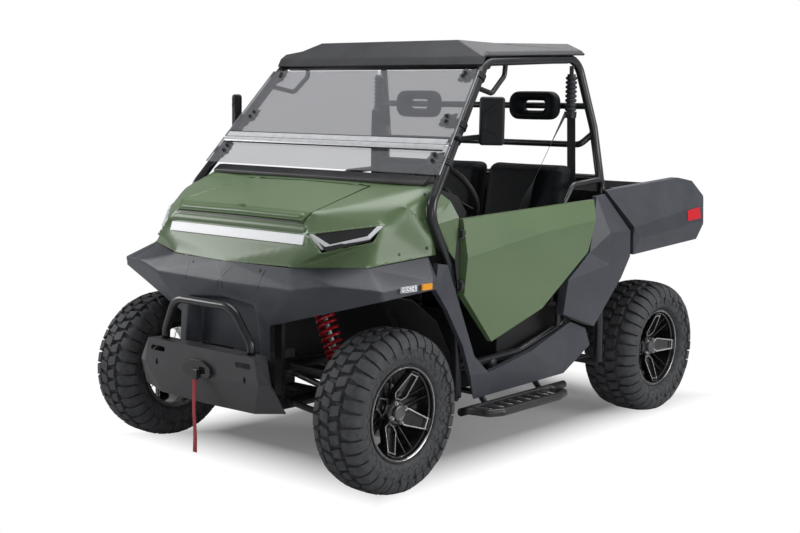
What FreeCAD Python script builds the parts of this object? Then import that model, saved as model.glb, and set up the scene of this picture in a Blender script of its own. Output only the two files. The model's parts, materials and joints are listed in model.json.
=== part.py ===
import FreeCAD, Part
import Sketcher
import math
import os
import re

V = FreeCAD.Vector
ORIGIN = V(0, 0, 0)
ACROSS = V(1, 0, 0)
UP = V(0, 0, 1)

# Side by side utility vehicle: +Z up, nose towards -Y, origin on the ground
# below the middle of its length. Places are given on the drawn vehicle, and
# follow the wheelbase, the track and the roof height when those change.
doc = FreeCAD.newDocument("utility_vehicle")
sheet = doc.addObject("Spreadsheet::Sheet", "Sizes")

SIZES = {
    "wheelbase": 1983.0,
    "drawn_wheelbase": 1983.0,
    "front_half_track": 679.0,
    "drawn_half_track": 679.0,
    "roof_height": 1816.0,
    "drawn_roof_height": 1816.0,
    "stretch_level": 395.0,
    "tyre_radius": 330.0,
    "lug_height": 15.0,
    "lug_width": 50.0,
    "lug_slant": 38.0,
    "lugs_each_side": 18.0,
    "tyre_wall": 11.0,
    "front_tyre_width": 229.0,
    "rear_tyre_width": 279.0,
    "track_difference": 39.0,
    "bead_radius": 178.0,
    "flange_radius": 193.0,
    "rim_wall": 6.0,
    "bead_gap": 0.3,
    "front_rim_width": 178.0,
    "rear_rim_width": 203.0,
    "hub_radius": 52.0,
    "spindle_radius": 16.0,
    "spindle_gap": 0.05,
    "disc_offset": 52.0,
    "disc_wall": 9.0,
    "spoke_count": 4.0,
    "rib_width": 6.0,
    "cap_radius": 33.0,
    "cap_reach": 77.0,
    "kingpin_inset": 79.0,
    "ball_joint_height": 105.0,
    "cage_tube_radius": 20.0,
    "rail_width": 50.0,
    "floor_wall": 4.0,
    "panel_wall": 5.0,
    "glass_wall": 5.0,
    "door_gap": 6.0,
    "seat_gap": 0.3,
    "pin_radius": 4.0,
    "pin_gap": 0.05,
    "bed_wall": 4.0,
}


def fill_sheet():
    """Write every driving size into the sheet with its alias."""
    for row, (name, value) in enumerate(SIZES.items(), start=1):
        sheet.set(f"A{row}", name)
        sheet.set(f"B{row}", str(value))
        sheet.setAlias(f"B{row}", name)
    doc.recompute()


fill_sheet()


def get(name):
    """Read one driving size back from the sheet."""
    return float(sheet.get(name))


tyre_radius = get("tyre_radius")
axle_height = tyre_radius
stretch_level = get("stretch_level")
cage_radius = get("cage_tube_radius")
panel_wall = get("panel_wall")
seat_gap = get("seat_gap")
pin_radius = get("pin_radius")
front_axle = -994.0
rear_axle = front_axle + get("drawn_wheelbase")
rail_x = 240.0
rail_bottom = 290.0
rail_top = 340.0
floor_top = rail_top + get("floor_wall")
plate_front = -1372.0
pieces = {}

# Places on the vehicle


def x_rule(x):
    """Sheet expression for a drawn distance across."""
    return f"{x:g} * front_half_track / drawn_half_track"


def y_rule(y):
    """Sheet expression for a drawn distance along."""
    return f"{y:g} * wheelbase / drawn_wheelbase"


def z_rule(z):
    """Sheet expression for a drawn height: only the body above the floor stretches."""
    if z <= stretch_level:
        return f"{z:g}"
    share = "(roof_height - stretch_level) / (drawn_roof_height - stretch_level)"
    return f"stretch_level + {z - stretch_level:g} * {share}"


def worth(rule):
    """The number that an expression gives now."""
    return float(sheet.evalExpression(rule))


def on_sheet(rule):
    """The same expression, as another object has to write it."""
    return re.sub(r"[a-z_]{3,}", lambda name: "Sizes." + name.group(0), rule)


width_share = worth(x_rule(1.0))
length_share = worth(y_rule(1.0))
height_share = (get("roof_height") - stretch_level) / (get("drawn_roof_height") - stretch_level)


def height(z):
    """A drawn height on this vehicle."""
    return z if z <= stretch_level else stretch_level + (z - stretch_level) * height_share


def spot(place):
    """A drawn (x, y, z) on this vehicle. A vector is such a place already."""
    if isinstance(place, FreeCAD.Vector):
        return V(place)
    x, y, z = place
    return V(x * width_share, y * length_share, height(z))


# Sheet-bound objects


def keep(label, piece):
    """Note an object as one sub-part under its label."""
    piece.Label = label
    pieces[label] = piece
    return piece


def shaped(label, shape, place=FreeCAD.Placement()):
    """A sub-part whose shape is made here, and its place."""
    piece = doc.addObject("Part::Feature", label)
    piece.Shape = shape
    piece.Placement = place
    return keep(label, piece)


def plane_of(body, role):
    """One of a body's own origin planes."""
    return next(item for item in body.Origin.OriginFeatures if item.Role == role)


def bound_sketch(body, role, name, corners):
    """A closed outline with two sheet expressions for each corner."""
    sketch = body.newObject("Sketcher::SketchObject", name)
    sketch.AttachmentSupport = [(plane_of(body, role), "")]
    sketch.MapMode = "FlatFace"
    places = [(worth(across), worth(up)) for across, up in corners]
    count = len(places)
    for i, (a, b) in enumerate(places):
        c, d = places[(i + 1) % count]
        sketch.addGeometry(Part.LineSegment(V(a, b, 0), V(c, d, 0)), False)
    for i in range(count):
        sketch.addConstraint(Sketcher.Constraint("Coincident", i, 2, (i + 1) % count, 1))
    for i, rules in enumerate(corners):
        for kind, rule, value in zip(("DistanceX", "DistanceY"), rules, places[i]):
            number = sketch.addConstraint(Sketcher.Constraint(kind, -1, 1, i, 1, value))
            sketch.setExpression(f"Constraints[{number}]", on_sheet(rule))
    return sketch


def pad_between(body, sketch, name, low, high):
    """Push a sketch from one distance across the vehicle to another."""
    sketch.setExpression("AttachmentOffset.Base.z", on_sheet(low))
    pad = body.newObject("PartDesign::Pad", name)
    pad.Profile = sketch
    pad.setExpression("Length", on_sheet(f"({high}) - ({low})"))
    return pad


def pocket_between(body, sketch, name, low, high):
    """Cut a sketch's outline away between two distances across."""
    sketch.setExpression("AttachmentOffset.Base.z", on_sheet(low))
    pocket = body.newObject("PartDesign::Pocket", name)
    pocket.Profile = sketch
    pocket.Reversed = True
    pocket.setExpression("Length", on_sheet(f"({high}) - ({low})"))
    return pocket


def section_rules(outline):
    """Sheet expressions for an outline of drawn (y, z) points."""
    return [(y_rule(y), z_rule(z)) for y, z in outline]


def extrusion(label, outline, low_x, high_x):
    """A body with one (y, z) outline all the way across."""
    body = doc.addObject("PartDesign::Body", label)
    sketch = bound_sketch(body, "YZ_Plane", label + "_outline", section_rules(outline))
    pad_between(body, sketch, label + "_pad", x_rule(low_x), x_rule(high_x))
    doc.recompute()
    return keep(label, body)


def carve(body, name, outline, low_x, high_x):
    """Cut a (y, z) outline out of a body, and stop if nothing was removed."""
    before = body.Shape.Volume
    sketch = bound_sketch(body, "YZ_Plane", name + "_outline", section_rules(outline))
    pocket_between(body, sketch, name, x_rule(low_x), x_rule(high_x))
    doc.recompute()
    if body.Shape.Volume >= before:
        raise RuntimeError(name + " cuts nothing")


def slab(name, low, high):
    """A box between two drawn corners, bound to the sheet."""
    box = doc.addObject("Part::Box", name)
    rules = (x_rule, y_rule, z_rule)
    for i, (size, axis) in enumerate((("Length", "x"), ("Width", "y"), ("Height", "z"))):
        start = rules[i](low[i])
        end = rules[i](high[i])
        box.setExpression(size, on_sheet(f"({end}) - ({start})"))
        box.setExpression("Placement.Base." + axis, on_sheet(start))
    return box


def twin(source):
    """The same object on the other side of the vehicle."""
    other = doc.addObject("Part::Mirroring", source.Name + "_right")
    other.Source = source
    other.Normal = ACROSS
    return other


def together(label, members):
    """One sub-part of solids that stand apart."""
    whole = doc.addObject("Part::Compound", label)
    whole.Links = members
    return keep(label, whole)


# Shape helpers


def mirrored(shape):
    """The same shape on the other side of the vehicle."""
    return shape.mirror(ORIGIN, ACROSS)


def pair(shape):
    """A shape and its twin on the other side."""
    return [shape, mirrored(shape)]


def fused(shapes):
    """Join touching shapes into one solid."""
    whole = shapes[0].multiFuse(shapes[1:]) if len(shapes) > 1 else shapes[0]
    return whole.removeSplitter()


def apart(shapes):
    """Hold shapes that don't touch in one node."""
    return Part.makeCompound(shapes)


def block(low, high):
    """A box between two drawn corners."""
    low, high = spot(low), spot(high)
    size = high - low
    return Part.makeBox(size.x, size.y, size.z, low)


def true_block(low, high):
    """A box between two true corners, for the running gear."""
    return block(V(*low), V(*high))


def rod(start, end, radius):
    """A round bar from one place to another."""
    start, end = spot(start), spot(end)
    return Part.makeCylinder(radius, (end - start).Length, start, end - start)


def bent_path(points, bend):
    """Straight runs joined by tangent arcs of one bend radius."""
    edges = []
    here = points[0]
    for before, corner, after in zip(points, points[1:], points[2:]):
        back = (before - corner).normalize()
        on = (after - corner).normalize()
        half = back.getAngle(on) / 2.0
        reach = bend / math.tan(half)
        start = corner + back * reach
        end = corner + on * reach
        middle = (back + on).normalize()
        centre = corner + middle * (bend / math.sin(half))
        edges.append(Part.LineSegment(here, start).toShape())
        edges.append(Part.Arc(start, centre - middle * bend, end).toShape())
        here = end
    edges.append(Part.LineSegment(here, points[-1]).toShape())
    return Part.Wire(edges)


def tube(places, radius, bend=80.0):
    """A bent round tube through a list of places."""
    points = [spot(place) for place in places]
    path = bent_path(points, bend)
    ring = Part.Wire([Part.makeCircle(radius, points[0], points[1] - points[0])])
    return path.makePipeShell([ring], True, False)


def prism(outline, low_x, high_x):
    """An outline of drawn (y, z) points, pushed across the vehicle."""
    ring = [spot((low_x, y, z)) for y, z in outline]
    face = Part.Face(Part.makePolygon(ring + ring[:1]))
    return face.extrude(V((high_x - low_x) * width_share, 0, 0))


def bent_sheet(line, wall, low_x, high_x):
    """A folded sheet: a (y, z) line given a wall and pushed across."""
    left, right = [], []
    for i, (y, z) in enumerate(line):
        before = V(0, *line[max(i - 1, 0)])
        after = V(0, *line[min(i + 1, len(line) - 1)])
        here = V(0, y, z)
        ins = (here - before) if i > 0 else (after - here)
        outs = (after - here) if i < len(line) - 1 else ins
        ins.normalize()
        outs.normalize()
        mitre = V(0, -(ins.z + outs.z), ins.y + outs.y)
        mitre.normalize()
        square = V(0, -ins.z, ins.y)
        push = mitre * (wall / 2.0 / mitre.dot(square))
        left.append((y + push.y, z + push.z))
        right.append((y - push.y, z - push.z))
    return prism(left + right[::-1], low_x, high_x)


def solid_from(triangles):
    """A closed solid from triangles of points."""
    faces = []
    for ring in triangles:
        faces.append(Part.Face(Part.makePolygon(list(ring) + [ring[0]])))
    skin = Part.makeShell(faces)
    skin.sewShape()
    body = Part.makeSolid(skin)
    if body.Volume < 0:
        body.reverse()
    return body.removeSplitter()


def fan(ring):
    """Split a ring of names into triangles from its first name."""
    return [(ring[0], ring[i], ring[i + 1]) for i in range(1, len(ring) - 1)]


def outward(points, facets, inside):
    """Facets as triangles, all turned one way, with normals away from an inside point."""
    waiting = [triangle for ring in facets for triangle in fan(ring)]
    placed = [waiting.pop(0)]
    while waiting:
        edges = {edge for a, b, c in placed for edge in ((a, b), (b, c), (c, a))}
        left = []
        for a, b, c in waiting:
            if edges & {(a, b), (b, c), (c, a)}:
                placed.append((a, c, b))
            elif edges & {(b, a), (c, b), (a, c)}:
                placed.append((a, b, c))
            else:
                left.append((a, b, c))
                continue
            a, b, c = placed[-1]
            edges |= {(a, b), (b, c), (c, a)}
        if len(left) == len(waiting):
            placed.append(left.pop(0))
        waiting = left
    facing = 0.0
    for a, b, c in placed:
        normal = (points[b] - points[a]).cross(points[c] - points[a])
        facing += normal.dot((points[a] + points[b] + points[c]) / 3.0 - inside)
    if facing < 0:
        placed = [(a, c, b) for a, b, c in placed]
    return placed


def inner_corner(normals, wall):
    """How far a corner moves so that every face beside it moves in by one wall."""
    soft = 0.03
    xx = yy = zz = soft
    xy = xz = yz = 0.0
    want = V(0, 0, 0)
    for n in normals:
        xx += n.x * n.x
        yy += n.y * n.y
        zz += n.z * n.z
        xy += n.x * n.y
        xz += n.x * n.z
        yz += n.y * n.z
        want = want - n * wall
    spread = FreeCAD.Matrix(xx, xy, xz, 0, xy, yy, yz, 0, xz, yz, zz, 0, 0, 0, 0, 1)
    return spread.inverse().multVec(want)


def thick_skin(corners, facets, wall, inside):
    """A moulded panel: flat facets with one wall thickness behind them."""
    points = {name: spot(place) for name, place in corners.items()}
    triangles = outward(points, facets, spot(inside))
    normals = {name: [] for name in points}
    edges = {}
    for a, b, c in triangles:
        normal = (points[b] - points[a]).cross(points[c] - points[a]).normalize()
        for name in (a, b, c):
            if all((normal - other).Length > 0.02 for other in normals[name]):
                normals[name].append(normal)
        for start, end in ((a, b), (b, c), (c, a)):
            edges[(start, end)] = True
    inner = {}
    for name, place in points.items():
        inner[name] = place + inner_corner(normals[name], wall)
    faces = []
    for a, b, c in triangles:
        faces.append((points[a], points[b], points[c]))
        faces.append((inner[a], inner[c], inner[b]))
    for start, end in edges:
        if (end, start) not in edges:
            faces.append((points[start], inner[start], inner[end]))
            faces.append((points[start], inner[end], points[end]))
    return solid_from(faces)


def whole_skin(corners, facets, wall, inside):
    """A panel over the centreline, from the corners of its left half."""
    both = dict(corners)
    for name, (x, y, z) in corners.items():
        if x > 0:
            both[name + "_r"] = (-x, y, z)
    other = []
    for ring in facets:
        other.append([n + "_r" if corners[n][0] > 0 else n for n in ring])
    return thick_skin(both, list(facets) + other, wall, inside)


def side_slab(corners, facets, inner_x):
    """A side panel: facets outside, one flat face at inner_x inside."""
    points = {name: spot(place) for name, place in corners.items()}
    triangles = []
    for ring in facets:
        for a, b, c in fan(ring):
            if (points[b] - points[a]).cross(points[c] - points[a]).x < 0:
                b, c = c, b
            triangles.append((a, b, c))
    edges = {}
    for a, b, c in triangles:
        for start, end in ((a, b), (b, c), (c, a)):
            edges[(start, end)] = True
    flat = {n: V(inner_x * width_share, p.y, p.z) for n, p in points.items()}
    faces = []
    for a, b, c in triangles:
        faces.append((points[a], points[b], points[c]))
        faces.append((flat[a], flat[c], flat[b]))
    for start, end in edges:
        if (end, start) not in edges:
            faces.append((points[start], flat[start], flat[end]))
            faces.append((points[start], flat[end], points[end]))
    return solid_from(faces)


def barrel_and_pin(middle, along, half_length, barrel_radius):
    """A hinge at one place: the moving barrel with its bore, and the fixed pin."""
    middle = spot(middle)
    start = middle - along * half_length
    barrel = Part.makeCylinder(barrel_radius, 2.0 * half_length, start, along)
    bore_start = middle - along * (half_length + 1.0)
    bore = Part.makeCylinder(pin_radius + get("pin_gap"), 2.0 * half_length + 2.0, bore_start, along)
    pin_start = middle - along * (half_length + 7.0)
    pin = Part.makeCylinder(pin_radius, 2.0 * half_length + 14.0, pin_start, along)
    return barrel, bore, pin


# Wheels

stations = {
    "fl": (1, "front", front_axle), "fr": (-1, "front", front_axle),
    "rl": (1, "rear", rear_axle), "rr": (-1, "rear", rear_axle),
}
half_track = {"front": "front_half_track", "rear": "front_half_track - track_difference"}


def centred(body, side, end, axle):
    """Place a wheel's piece on its axle."""
    body.setExpression("Placement.Base.x", on_sheet(f"{side} * ({half_track[end]})"))
    body.setExpression("Placement.Base.y", on_sheet(y_rule(axle)))
    body.setExpression("Placement.Base.z", on_sheet("tyre_radius"))


def revolved(label, outline):
    """A body turned about the axle line from an (across, radius) outline."""
    body = doc.addObject("PartDesign::Body", label)
    sketch = bound_sketch(body, "XZ_Plane", label + "_profile", outline)
    turn = body.newObject("PartDesign::Revolution", label + "_turn")
    turn.Profile = sketch
    turn.ReferenceAxis = (sketch, ["H_Axis"])
    turn.Angle = 360.0
    doc.recompute()
    return body


def casing(label, width, rim_width):
    """A tyre's casing below its lugs, open at the beads."""
    half = f"{width} / 2"
    seat = f"{rim_width} / 2 - bead_gap"
    bead = "bead_radius + bead_gap"
    side = "flange_radius + 45"
    outer = [
        (f"{half} - 22", "tyre_radius - lug_height"), (half, "tyre_radius - 2.5 * lug_height"),
        (f"{half} - 6", side), (seat, "flange_radius + 2"), (seat, bead),
    ]
    inner = [
        (f"{seat} - 2 * tyre_wall", bead), (f"{half} - 6 - tyre_wall", side),
        (f"{half} - 2 * tyre_wall", "tyre_radius - 2.5 * lug_height - tyre_wall"),
        (f"{half} - 4 * tyre_wall", "tyre_radius - lug_height - tyre_wall"),
    ]
    right = outer + inner
    left = [(f"-({across})", radius) for across, radius in reversed(right)]
    return revolved(label, right + left)


def lugs(width):
    """Slanted tread lugs in two staggered rows that wrap over the shoulders."""
    half = width / 2.0
    crown = get("tyre_radius")
    long = get("lug_width")
    slant = get("lug_slant")
    sunk = crown - get("lug_height") - 6.0
    inner = 5.0
    furthest = long / 2.0 + slant * (0.5 - inner / half)
    top = math.sqrt(crown * crown - furthest * furthest)
    profile = [
        (inner, sunk), (inner, top), (half - 18.0, top), (half - 1.5, top - 16.0), (half - 1.5, top - 44.0),
        (half - 26.0, sunk),
    ]
    ring = [V(across, slant * (0.5 - across / half) - long / 2.0, reach) for across, reach in profile]
    lug = Part.Face(Part.makePolygon(ring + ring[:1])).extrude(V(0, long, 0))
    count = int(get("lugs_each_side"))
    pitch = 360.0 / count
    first = 180.0 + math.degrees(math.asin(furthest / crown))
    row = []
    for i in range(count):
        for side, shape in ((0.0, lug), (0.5, mirrored(lug))):
            turned_lug = shape.copy()
            turned_lug.rotate(ORIGIN, ACROSS, first + pitch * (i + side))
            row.append(turned_lug)
    return row


def sector(inner, outer, angle, low_x, high_x):
    """A wedge of a ring about the X axis, centred on +Z."""
    half = math.radians(angle / 2.0)
    a = half - 8.0 / inner
    ring = [
        V(low_x, -inner * math.sin(a), inner * math.cos(a)), V(low_x, inner * math.sin(a), inner * math.cos(a)),
        V(low_x, outer * math.sin(half), outer * math.cos(half)), V(low_x, 0, outer),
        V(low_x, -outer * math.sin(half), outer * math.cos(half)),
    ]
    face = Part.Face(Part.makePolygon(ring + ring[:1]))
    return face.extrude(V(high_x - low_x, 0, 0))


def turned(profile):
    """Turn an outline of (across, radius) points about the X axis."""
    ring = [V(a, 0, r) for a, r in profile]
    return Part.Face(Part.makePolygon(ring + ring[:1])).revolve(ORIGIN, ACROSS, 360)


def rim(rim_width):
    """Barrel, spokes with rib pairs between, hub and brake disc of one wheel, outboard towards +X."""
    bead = get("bead_radius")
    wall = get("rim_wall")
    flange = get("flange_radius")
    half = rim_width / 2.0
    disc = get("disc_offset")
    front = disc + get("disc_wall")
    hub = get("hub_radius")
    barrel = turned([
        (-half - wall, bead - wall), (half + wall, bead - wall), (half + wall, flange),
        (half, flange), (half, bead), (-half, bead), (-half, flange), (-half - wall, flange),
    ])
    edge = bead - wall + 1.0
    face = turned([(disc, 0), (front, 0), (front, edge), (disc, edge)])
    count = int(get("spoke_count"))
    turn = 360.0 / count
    rib = get("rib_width") / 2.0
    ribs = []
    for i in range(count):
        window = sector(hub + 6.0, bead - wall - 10.0, turn * 0.7, disc - 1, front + 1)
        window.rotate(ORIGIN, ACROSS, turn * (i + 0.5))
        face = face.cut(window)
        for offset in (-15.0, 15.0):
            bar = true_block((disc, offset - rib, hub - 8.0), (front - 3.0, offset + rib, bead - wall - 5.0))
            bar.rotate(ORIGIN, ACROSS, turn * (i + 0.5))
            ribs.append(bar)
    back = V(-40.0, 0, 0)
    boss = Part.makeCylinder(hub, disc - back.x, back, ACROSS)
    cap = Part.makeCylinder(get("cap_radius"), get("cap_reach") - disc, V(disc, 0, 0), ACROSS)
    brake = Part.makeCylinder(108.0, 6.0, V(-18.0, 0, 0), ACROSS)
    bore_radius = get("spindle_radius") + get("spindle_gap")
    bore = Part.makeCylinder(bore_radius, disc - back.x, back, ACROSS)
    return fused([barrel, face, boss, cap, brake] + ribs).cut(bore)


def build_wheels():
    """Four tyres on four rims."""
    covers = {}
    for end in ("front", "rear"):
        body = casing(end + "_casing", end + "_tyre_width", end + "_rim_width")
        covers[end] = fused([body.Shape] + lugs(get(end + "_tyre_width")))
    for name, (side, end, axle) in stations.items():
        centred(shaped("tyre_" + name, covers[end]), side, end, axle)
        shape = rim(get(end + "_rim_width"))
        wheel = shaped("rim_" + name, shape if side > 0 else mirrored(shape))
        centred(wheel, side, end, axle)


build_wheels()

# Front knuckles and steering

front_half = get("front_half_track")
rear_half = front_half - get("track_difference")
front_y = front_axle * length_share
rear_y = rear_axle * length_share
kingpin_x = front_half - get("kingpin_inset")
carrier_x = rear_half - 62.0
ball_height = get("ball_joint_height")
ball_radius = 9.0
steer_arm = 110.0
rack_radius = 8.0
tie_rod_height = max(axle_height + 42.0, rail_top + rack_radius + 24.0)


def upright(x, y, half_width):
    """Block between the two ball joints of one corner."""
    low = (x - half_width, y - 28.0, axle_height - ball_height + 26.0)
    high = (x + half_width, y + 28.0, axle_height + ball_height - 26.0)
    return true_block(low, high)


def spindle(x, y, half_width, track):
    """Stub axle from an upright into a hub."""
    end = track + get("disc_offset") - 6.0
    return rod(V(x - half_width, y, axle_height), V(end, y, axle_height), get("spindle_radius"))


def knuckle():
    """Left front upright with its spindle, ball pins and steering arm."""
    x, y, z = kingpin_x, front_y, axle_height
    arm = true_block((x - 14, y + 20, z + 20), (x + 14, y + steer_arm + 14, tie_rod_height - rack_radius - seat_gap))
    pins = rod(V(x, y, z - ball_height - 8.0), V(x, y, z + ball_height + 8.0), ball_radius)
    return fused([upright(x, y, 22.0), spindle(x, y, 22.0, front_half), arm, pins])


shaped("knuckle_left", knuckle())
shaped("knuckle_right", mirrored(knuckle()))


def steering_rack():
    """Rack bar with a tie rod to each steering arm, free at its outer eye."""
    y = front_y + steer_arm
    bar = doc.addObject("Part::Cylinder", "rack_bar")
    bar.Radius = rack_radius
    bar.setExpression("Height", on_sheet("2 * (front_half_track - kingpin_inset + 12)"))
    bar.Placement = FreeCAD.Placement(V(-kingpin_x - 12.0, y, tie_rod_height), FreeCAD.Rotation(UP, ACROSS))
    keep("steering_rack", bar)


steering_rack()

wheel_centre = spot((362.0, -250.0, 1130.0))
column_lean = 32.0
column_dir = V(0, -math.cos(math.radians(column_lean)), -math.sin(math.radians(column_lean)))
column_radius = 10.0


def steering_wheel():
    """Rim, three spokes, boss and a stub shaft in the column."""
    ring = Part.makeTorus(160.0, 14.0, ORIGIN, UP)
    boss = Part.makeCylinder(42.0, 34.0, V(0, 0, -6.0), UP)
    spokes = []
    for angle in (90.0, 210.0, 330.0):
        spoke = true_block((20, -14, 2), (155, 14, 12))
        spoke.rotate(ORIGIN, UP, angle)
        spokes.append(spoke)
    shaft = Part.makeCylinder(column_radius, 90.0, V(0, 0, 20.0), UP)
    return fused([ring, boss, shaft] + spokes)


shaped("steering_wheel", steering_wheel(), FreeCAD.Placement(wheel_centre, FreeCAD.Rotation(UP, column_dir)))

# Chassis

rail_half = get("rail_width") / 2.0
rail_outer = rail_x + rail_half
upper_arm_z = 470.0
lower_arm_z = 320.0
arm_spread = 130.0
arm_pivot_x = rail_outer * width_share + 16.0
strut_low_x = 430.0
strut_top = V(rail_outer * width_share + 42.0, 0, height(742.0))
eye_radius = 16.0
strut_pin = 9.0


def chassis_frame():
    """Welded lower frame: rails, cross members, plate horns and hitch receiver."""
    parts = []
    for side in (-1, 1):
        x = side * rail_x
        parts.append(block((x - rail_half, -1190, rail_bottom), (x + rail_half, 1260, rail_top)))
        behind_plate = plate_front + panel_wall + seat_gap
        horn = [(-1190, 292), (-1190, 338), (behind_plate, 490), (behind_plate, 446)]
        parts.append(prism(horn, x - 15, x + 15))
    for y in (-1190, -1080, -960, -620, 0, 620, rear_axle - 150, rear_axle + 40, 1210):
        parts.append(block((-rail_x, y, rail_bottom), (rail_x, y + 2.0 * rail_half, rail_top)))
    receiver = block((-32, 1230, rail_bottom - 8), (32, 1400, rail_bottom + 56))
    receiver = receiver.cut(block((-25.4, 1290, rail_bottom - 1.4), (25.4, 1401, rail_bottom + 49.4)))
    pin = rod((-40, 1355, rail_bottom + 24), (40, 1355, rail_bottom + 24), 8.0)
    parts.append(receiver)
    return fused(parts).cut(pin)


shaped("chassis_frame", chassis_frame())


def shock_towers():
    """Portals over the axles: upper arm rails, posts and the strut pins."""
    portals = []
    for y in (front_y, rear_y):
        parts = []
        x = rail_outer * width_share
        for side in (-1, 1):
            inner, outer = sorted((side * (x - 40.0), side * x))
            parts.append(true_block((inner, y - 170, upper_arm_z - 20), (outer, y + 170, upper_arm_z + 20)))
            for dy in (-160.0, 160.0):
                parts.append(true_block((inner, y + dy - 10, rail_top), (outer, y + dy + 10, strut_top.z + 20)))
            parts.append(true_block((inner, y - 170, strut_top.z), (outer, y + 170, strut_top.z + 20)))
            start = V(side * (x - 1.0), y, strut_top.z)
            for dy in (-22.0, 16.5):
                low, high = sorted((side * (x - 1.0), side * (strut_top.x + 18.0)))
                parts.append(true_block((low, y + dy, strut_top.z - 18), (high, y + dy + 5.5, strut_top.z + 20)))
            centre = V(side * strut_top.x, y - 22.0, strut_top.z)
            parts.append(Part.makeCylinder(strut_pin, 44.0, centre, V(0, 1, 0)))
        for dy in (-160.0, 160.0):
            low = (-x + 20.0, y + dy - 10, strut_top.z)
            parts.append(true_block(low, (x - 20.0, y + dy + 10, strut_top.z + 20)))
        portals.append(fused(parts))
    return apart(portals)


shaped("shock_towers", shock_towers())


def arm_point(reach, share, z_in, z_out):
    """Place on an arm's middle line, from its pivot to its ball joint."""
    return V(arm_pivot_x + (reach - arm_pivot_x) * share, 0, z_in + (z_out - z_in) * share)


def suspension_arms():
    """Upper and lower arms at each corner, with the rear hub carriers."""
    arms = []
    for y, reach, bore in ((front_y, kingpin_x, ball_radius + 0.05), (rear_y, carrier_x, 0.0)):
        share = (strut_low_x * width_share - arm_pivot_x) / (reach - arm_pivot_x)
        levels = (
            (lower_arm_z, axle_height - ball_height, False), (upper_arm_z, axle_height + ball_height, True),
        )
        for z_in, z_out, upper in levels:
            legs = [rod(V(arm_pivot_x, y - 150, z_in), V(arm_pivot_x, y + 150, z_in), 16.0)]
            for dy in (-arm_spread, arm_spread):
                legs.append(rod(V(arm_pivot_x, y + dy, z_in), V(reach, y, z_out), 13.0))
            legs.append(Part.makeCylinder(20.0, 24.0, V(reach, y, z_out - 12.0), UP))
            if upper:
                middle = arm_point(reach, share, z_in, z_out)
                spread = arm_spread * (1.0 - share)
                legs.append(rod(V(middle.x, y - spread, middle.z), V(middle.x, y + spread, middle.z), strut_pin))
            whole = fused(legs)
            if bore:
                whole = whole.cut(rod(V(reach, y, z_out - 40.0), V(reach, y, z_out + 40.0), bore))
            arms += pair(whole)
    carrier = [upright(carrier_x, rear_y, 22.0), spindle(carrier_x, rear_y, 22.0, rear_half)]
    low = axle_height - ball_height + 12.0
    carrier.append(rod(V(carrier_x, rear_y, low), V(carrier_x, rear_y, axle_height + ball_height - 12.0), 12.0))
    arms += pair(fused(carrier))
    return apart(arms)


shaped("suspension_arms", suspension_arms())


coil_radius = 37.0
wire_radius = 7.0
coil_turns = 8.5
perch_wall = 7.0


def coil(low, line, length):
    """A round-wire spring between two perches, in straight runs."""
    side = V(0, 1, 0)
    front = side.cross(line)
    runs = 12
    corners = 5
    steps = int(coil_turns * runs)
    climb = length - 2.0 * wire_radius
    rings = []
    for i in range(steps + 1):
        angle = 2.0 * math.pi * i / runs
        out = front * math.cos(angle) + side * math.sin(angle)
        centre = low + line * (wire_radius + climb * i / steps) + out * coil_radius
        ring = []
        for k in range(corners):
            around = 2.0 * math.pi * k / corners
            ring.append(centre + out * (wire_radius * math.cos(around)) + line * (wire_radius * math.sin(around)))
        rings.append(ring)
    faces = fan_faces(rings[0]) + fan_faces(rings[-1][::-1])
    for one, two in zip(rings, rings[1:]):
        for k in range(corners):
            n = (k + 1) % corners
            faces.append((one[k], two[k], two[n]))
            faces.append((one[k], two[n], one[n]))
    return solid_from(faces)


def fan_faces(ring):
    """Triangles that close one end of a run."""
    return [(ring[0], ring[i], ring[i + 1]) for i in range(1, len(ring) - 1)]


def shocks():
    """Coil springs and the dampers inside them, from the upper arms to the towers."""
    coils, dampers = [], []
    for y, reach in ((front_y, kingpin_x), (rear_y, carrier_x)):
        share = (strut_low_x * width_share - arm_pivot_x) / (reach - arm_pivot_x)
        low = arm_point(reach, share, upper_arm_z, axle_height + ball_height)
        low.y = y
        high = V(strut_top.x, y, strut_top.z)
        line = (high - low).normalize()
        length = (high - low).Length
        parts = [Part.makeCylinder(12.0, length - 20.0, low + line * 10.0, line)]
        for end in (low, high):
            parts.append(Part.makeCylinder(eye_radius, 32.0, end - V(0, 16.0, 0), V(0, 1, 0)))
        perch = coil_radius + wire_radius + 2.0
        parts.append(Part.makeCylinder(perch, perch_wall, low + line * 40.0, line))
        parts.append(Part.makeCylinder(perch, perch_wall, high - line * 50.0, line))
        damper = fused(parts)
        for end in (low, high):
            bore = Part.makeCylinder(strut_pin + 0.05, 40.0, end - V(0, 20.0, 0), V(0, 1, 0))
            damper = damper.cut(bore)
        dampers += pair(damper)
        coils += pair(coil(low + line * (40.0 + perch_wall), line, length - 90.0 - perch_wall))
    shaped("shock_springs", apart(coils))
    shaped("shock_dampers", apart(dampers))


shocks()

gearbox_half = 90.0
motor_half = 150.0
drive_top = rail_top + 150.0

together("drive_units", [
    slab("front_gearbox", (-gearbox_half, front_axle - 110, rail_top), (gearbox_half, front_axle + 80, drive_top)),
    slab("rear_motor", (-motor_half, rear_axle - 140, rail_top), (motor_half, rear_axle + 120, rail_top + 260)),
])
extrusion("battery_pack", [(-140, floor_top), (230, floor_top), (230, 574), (-140, 574)], -200.0, 200.0)


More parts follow.
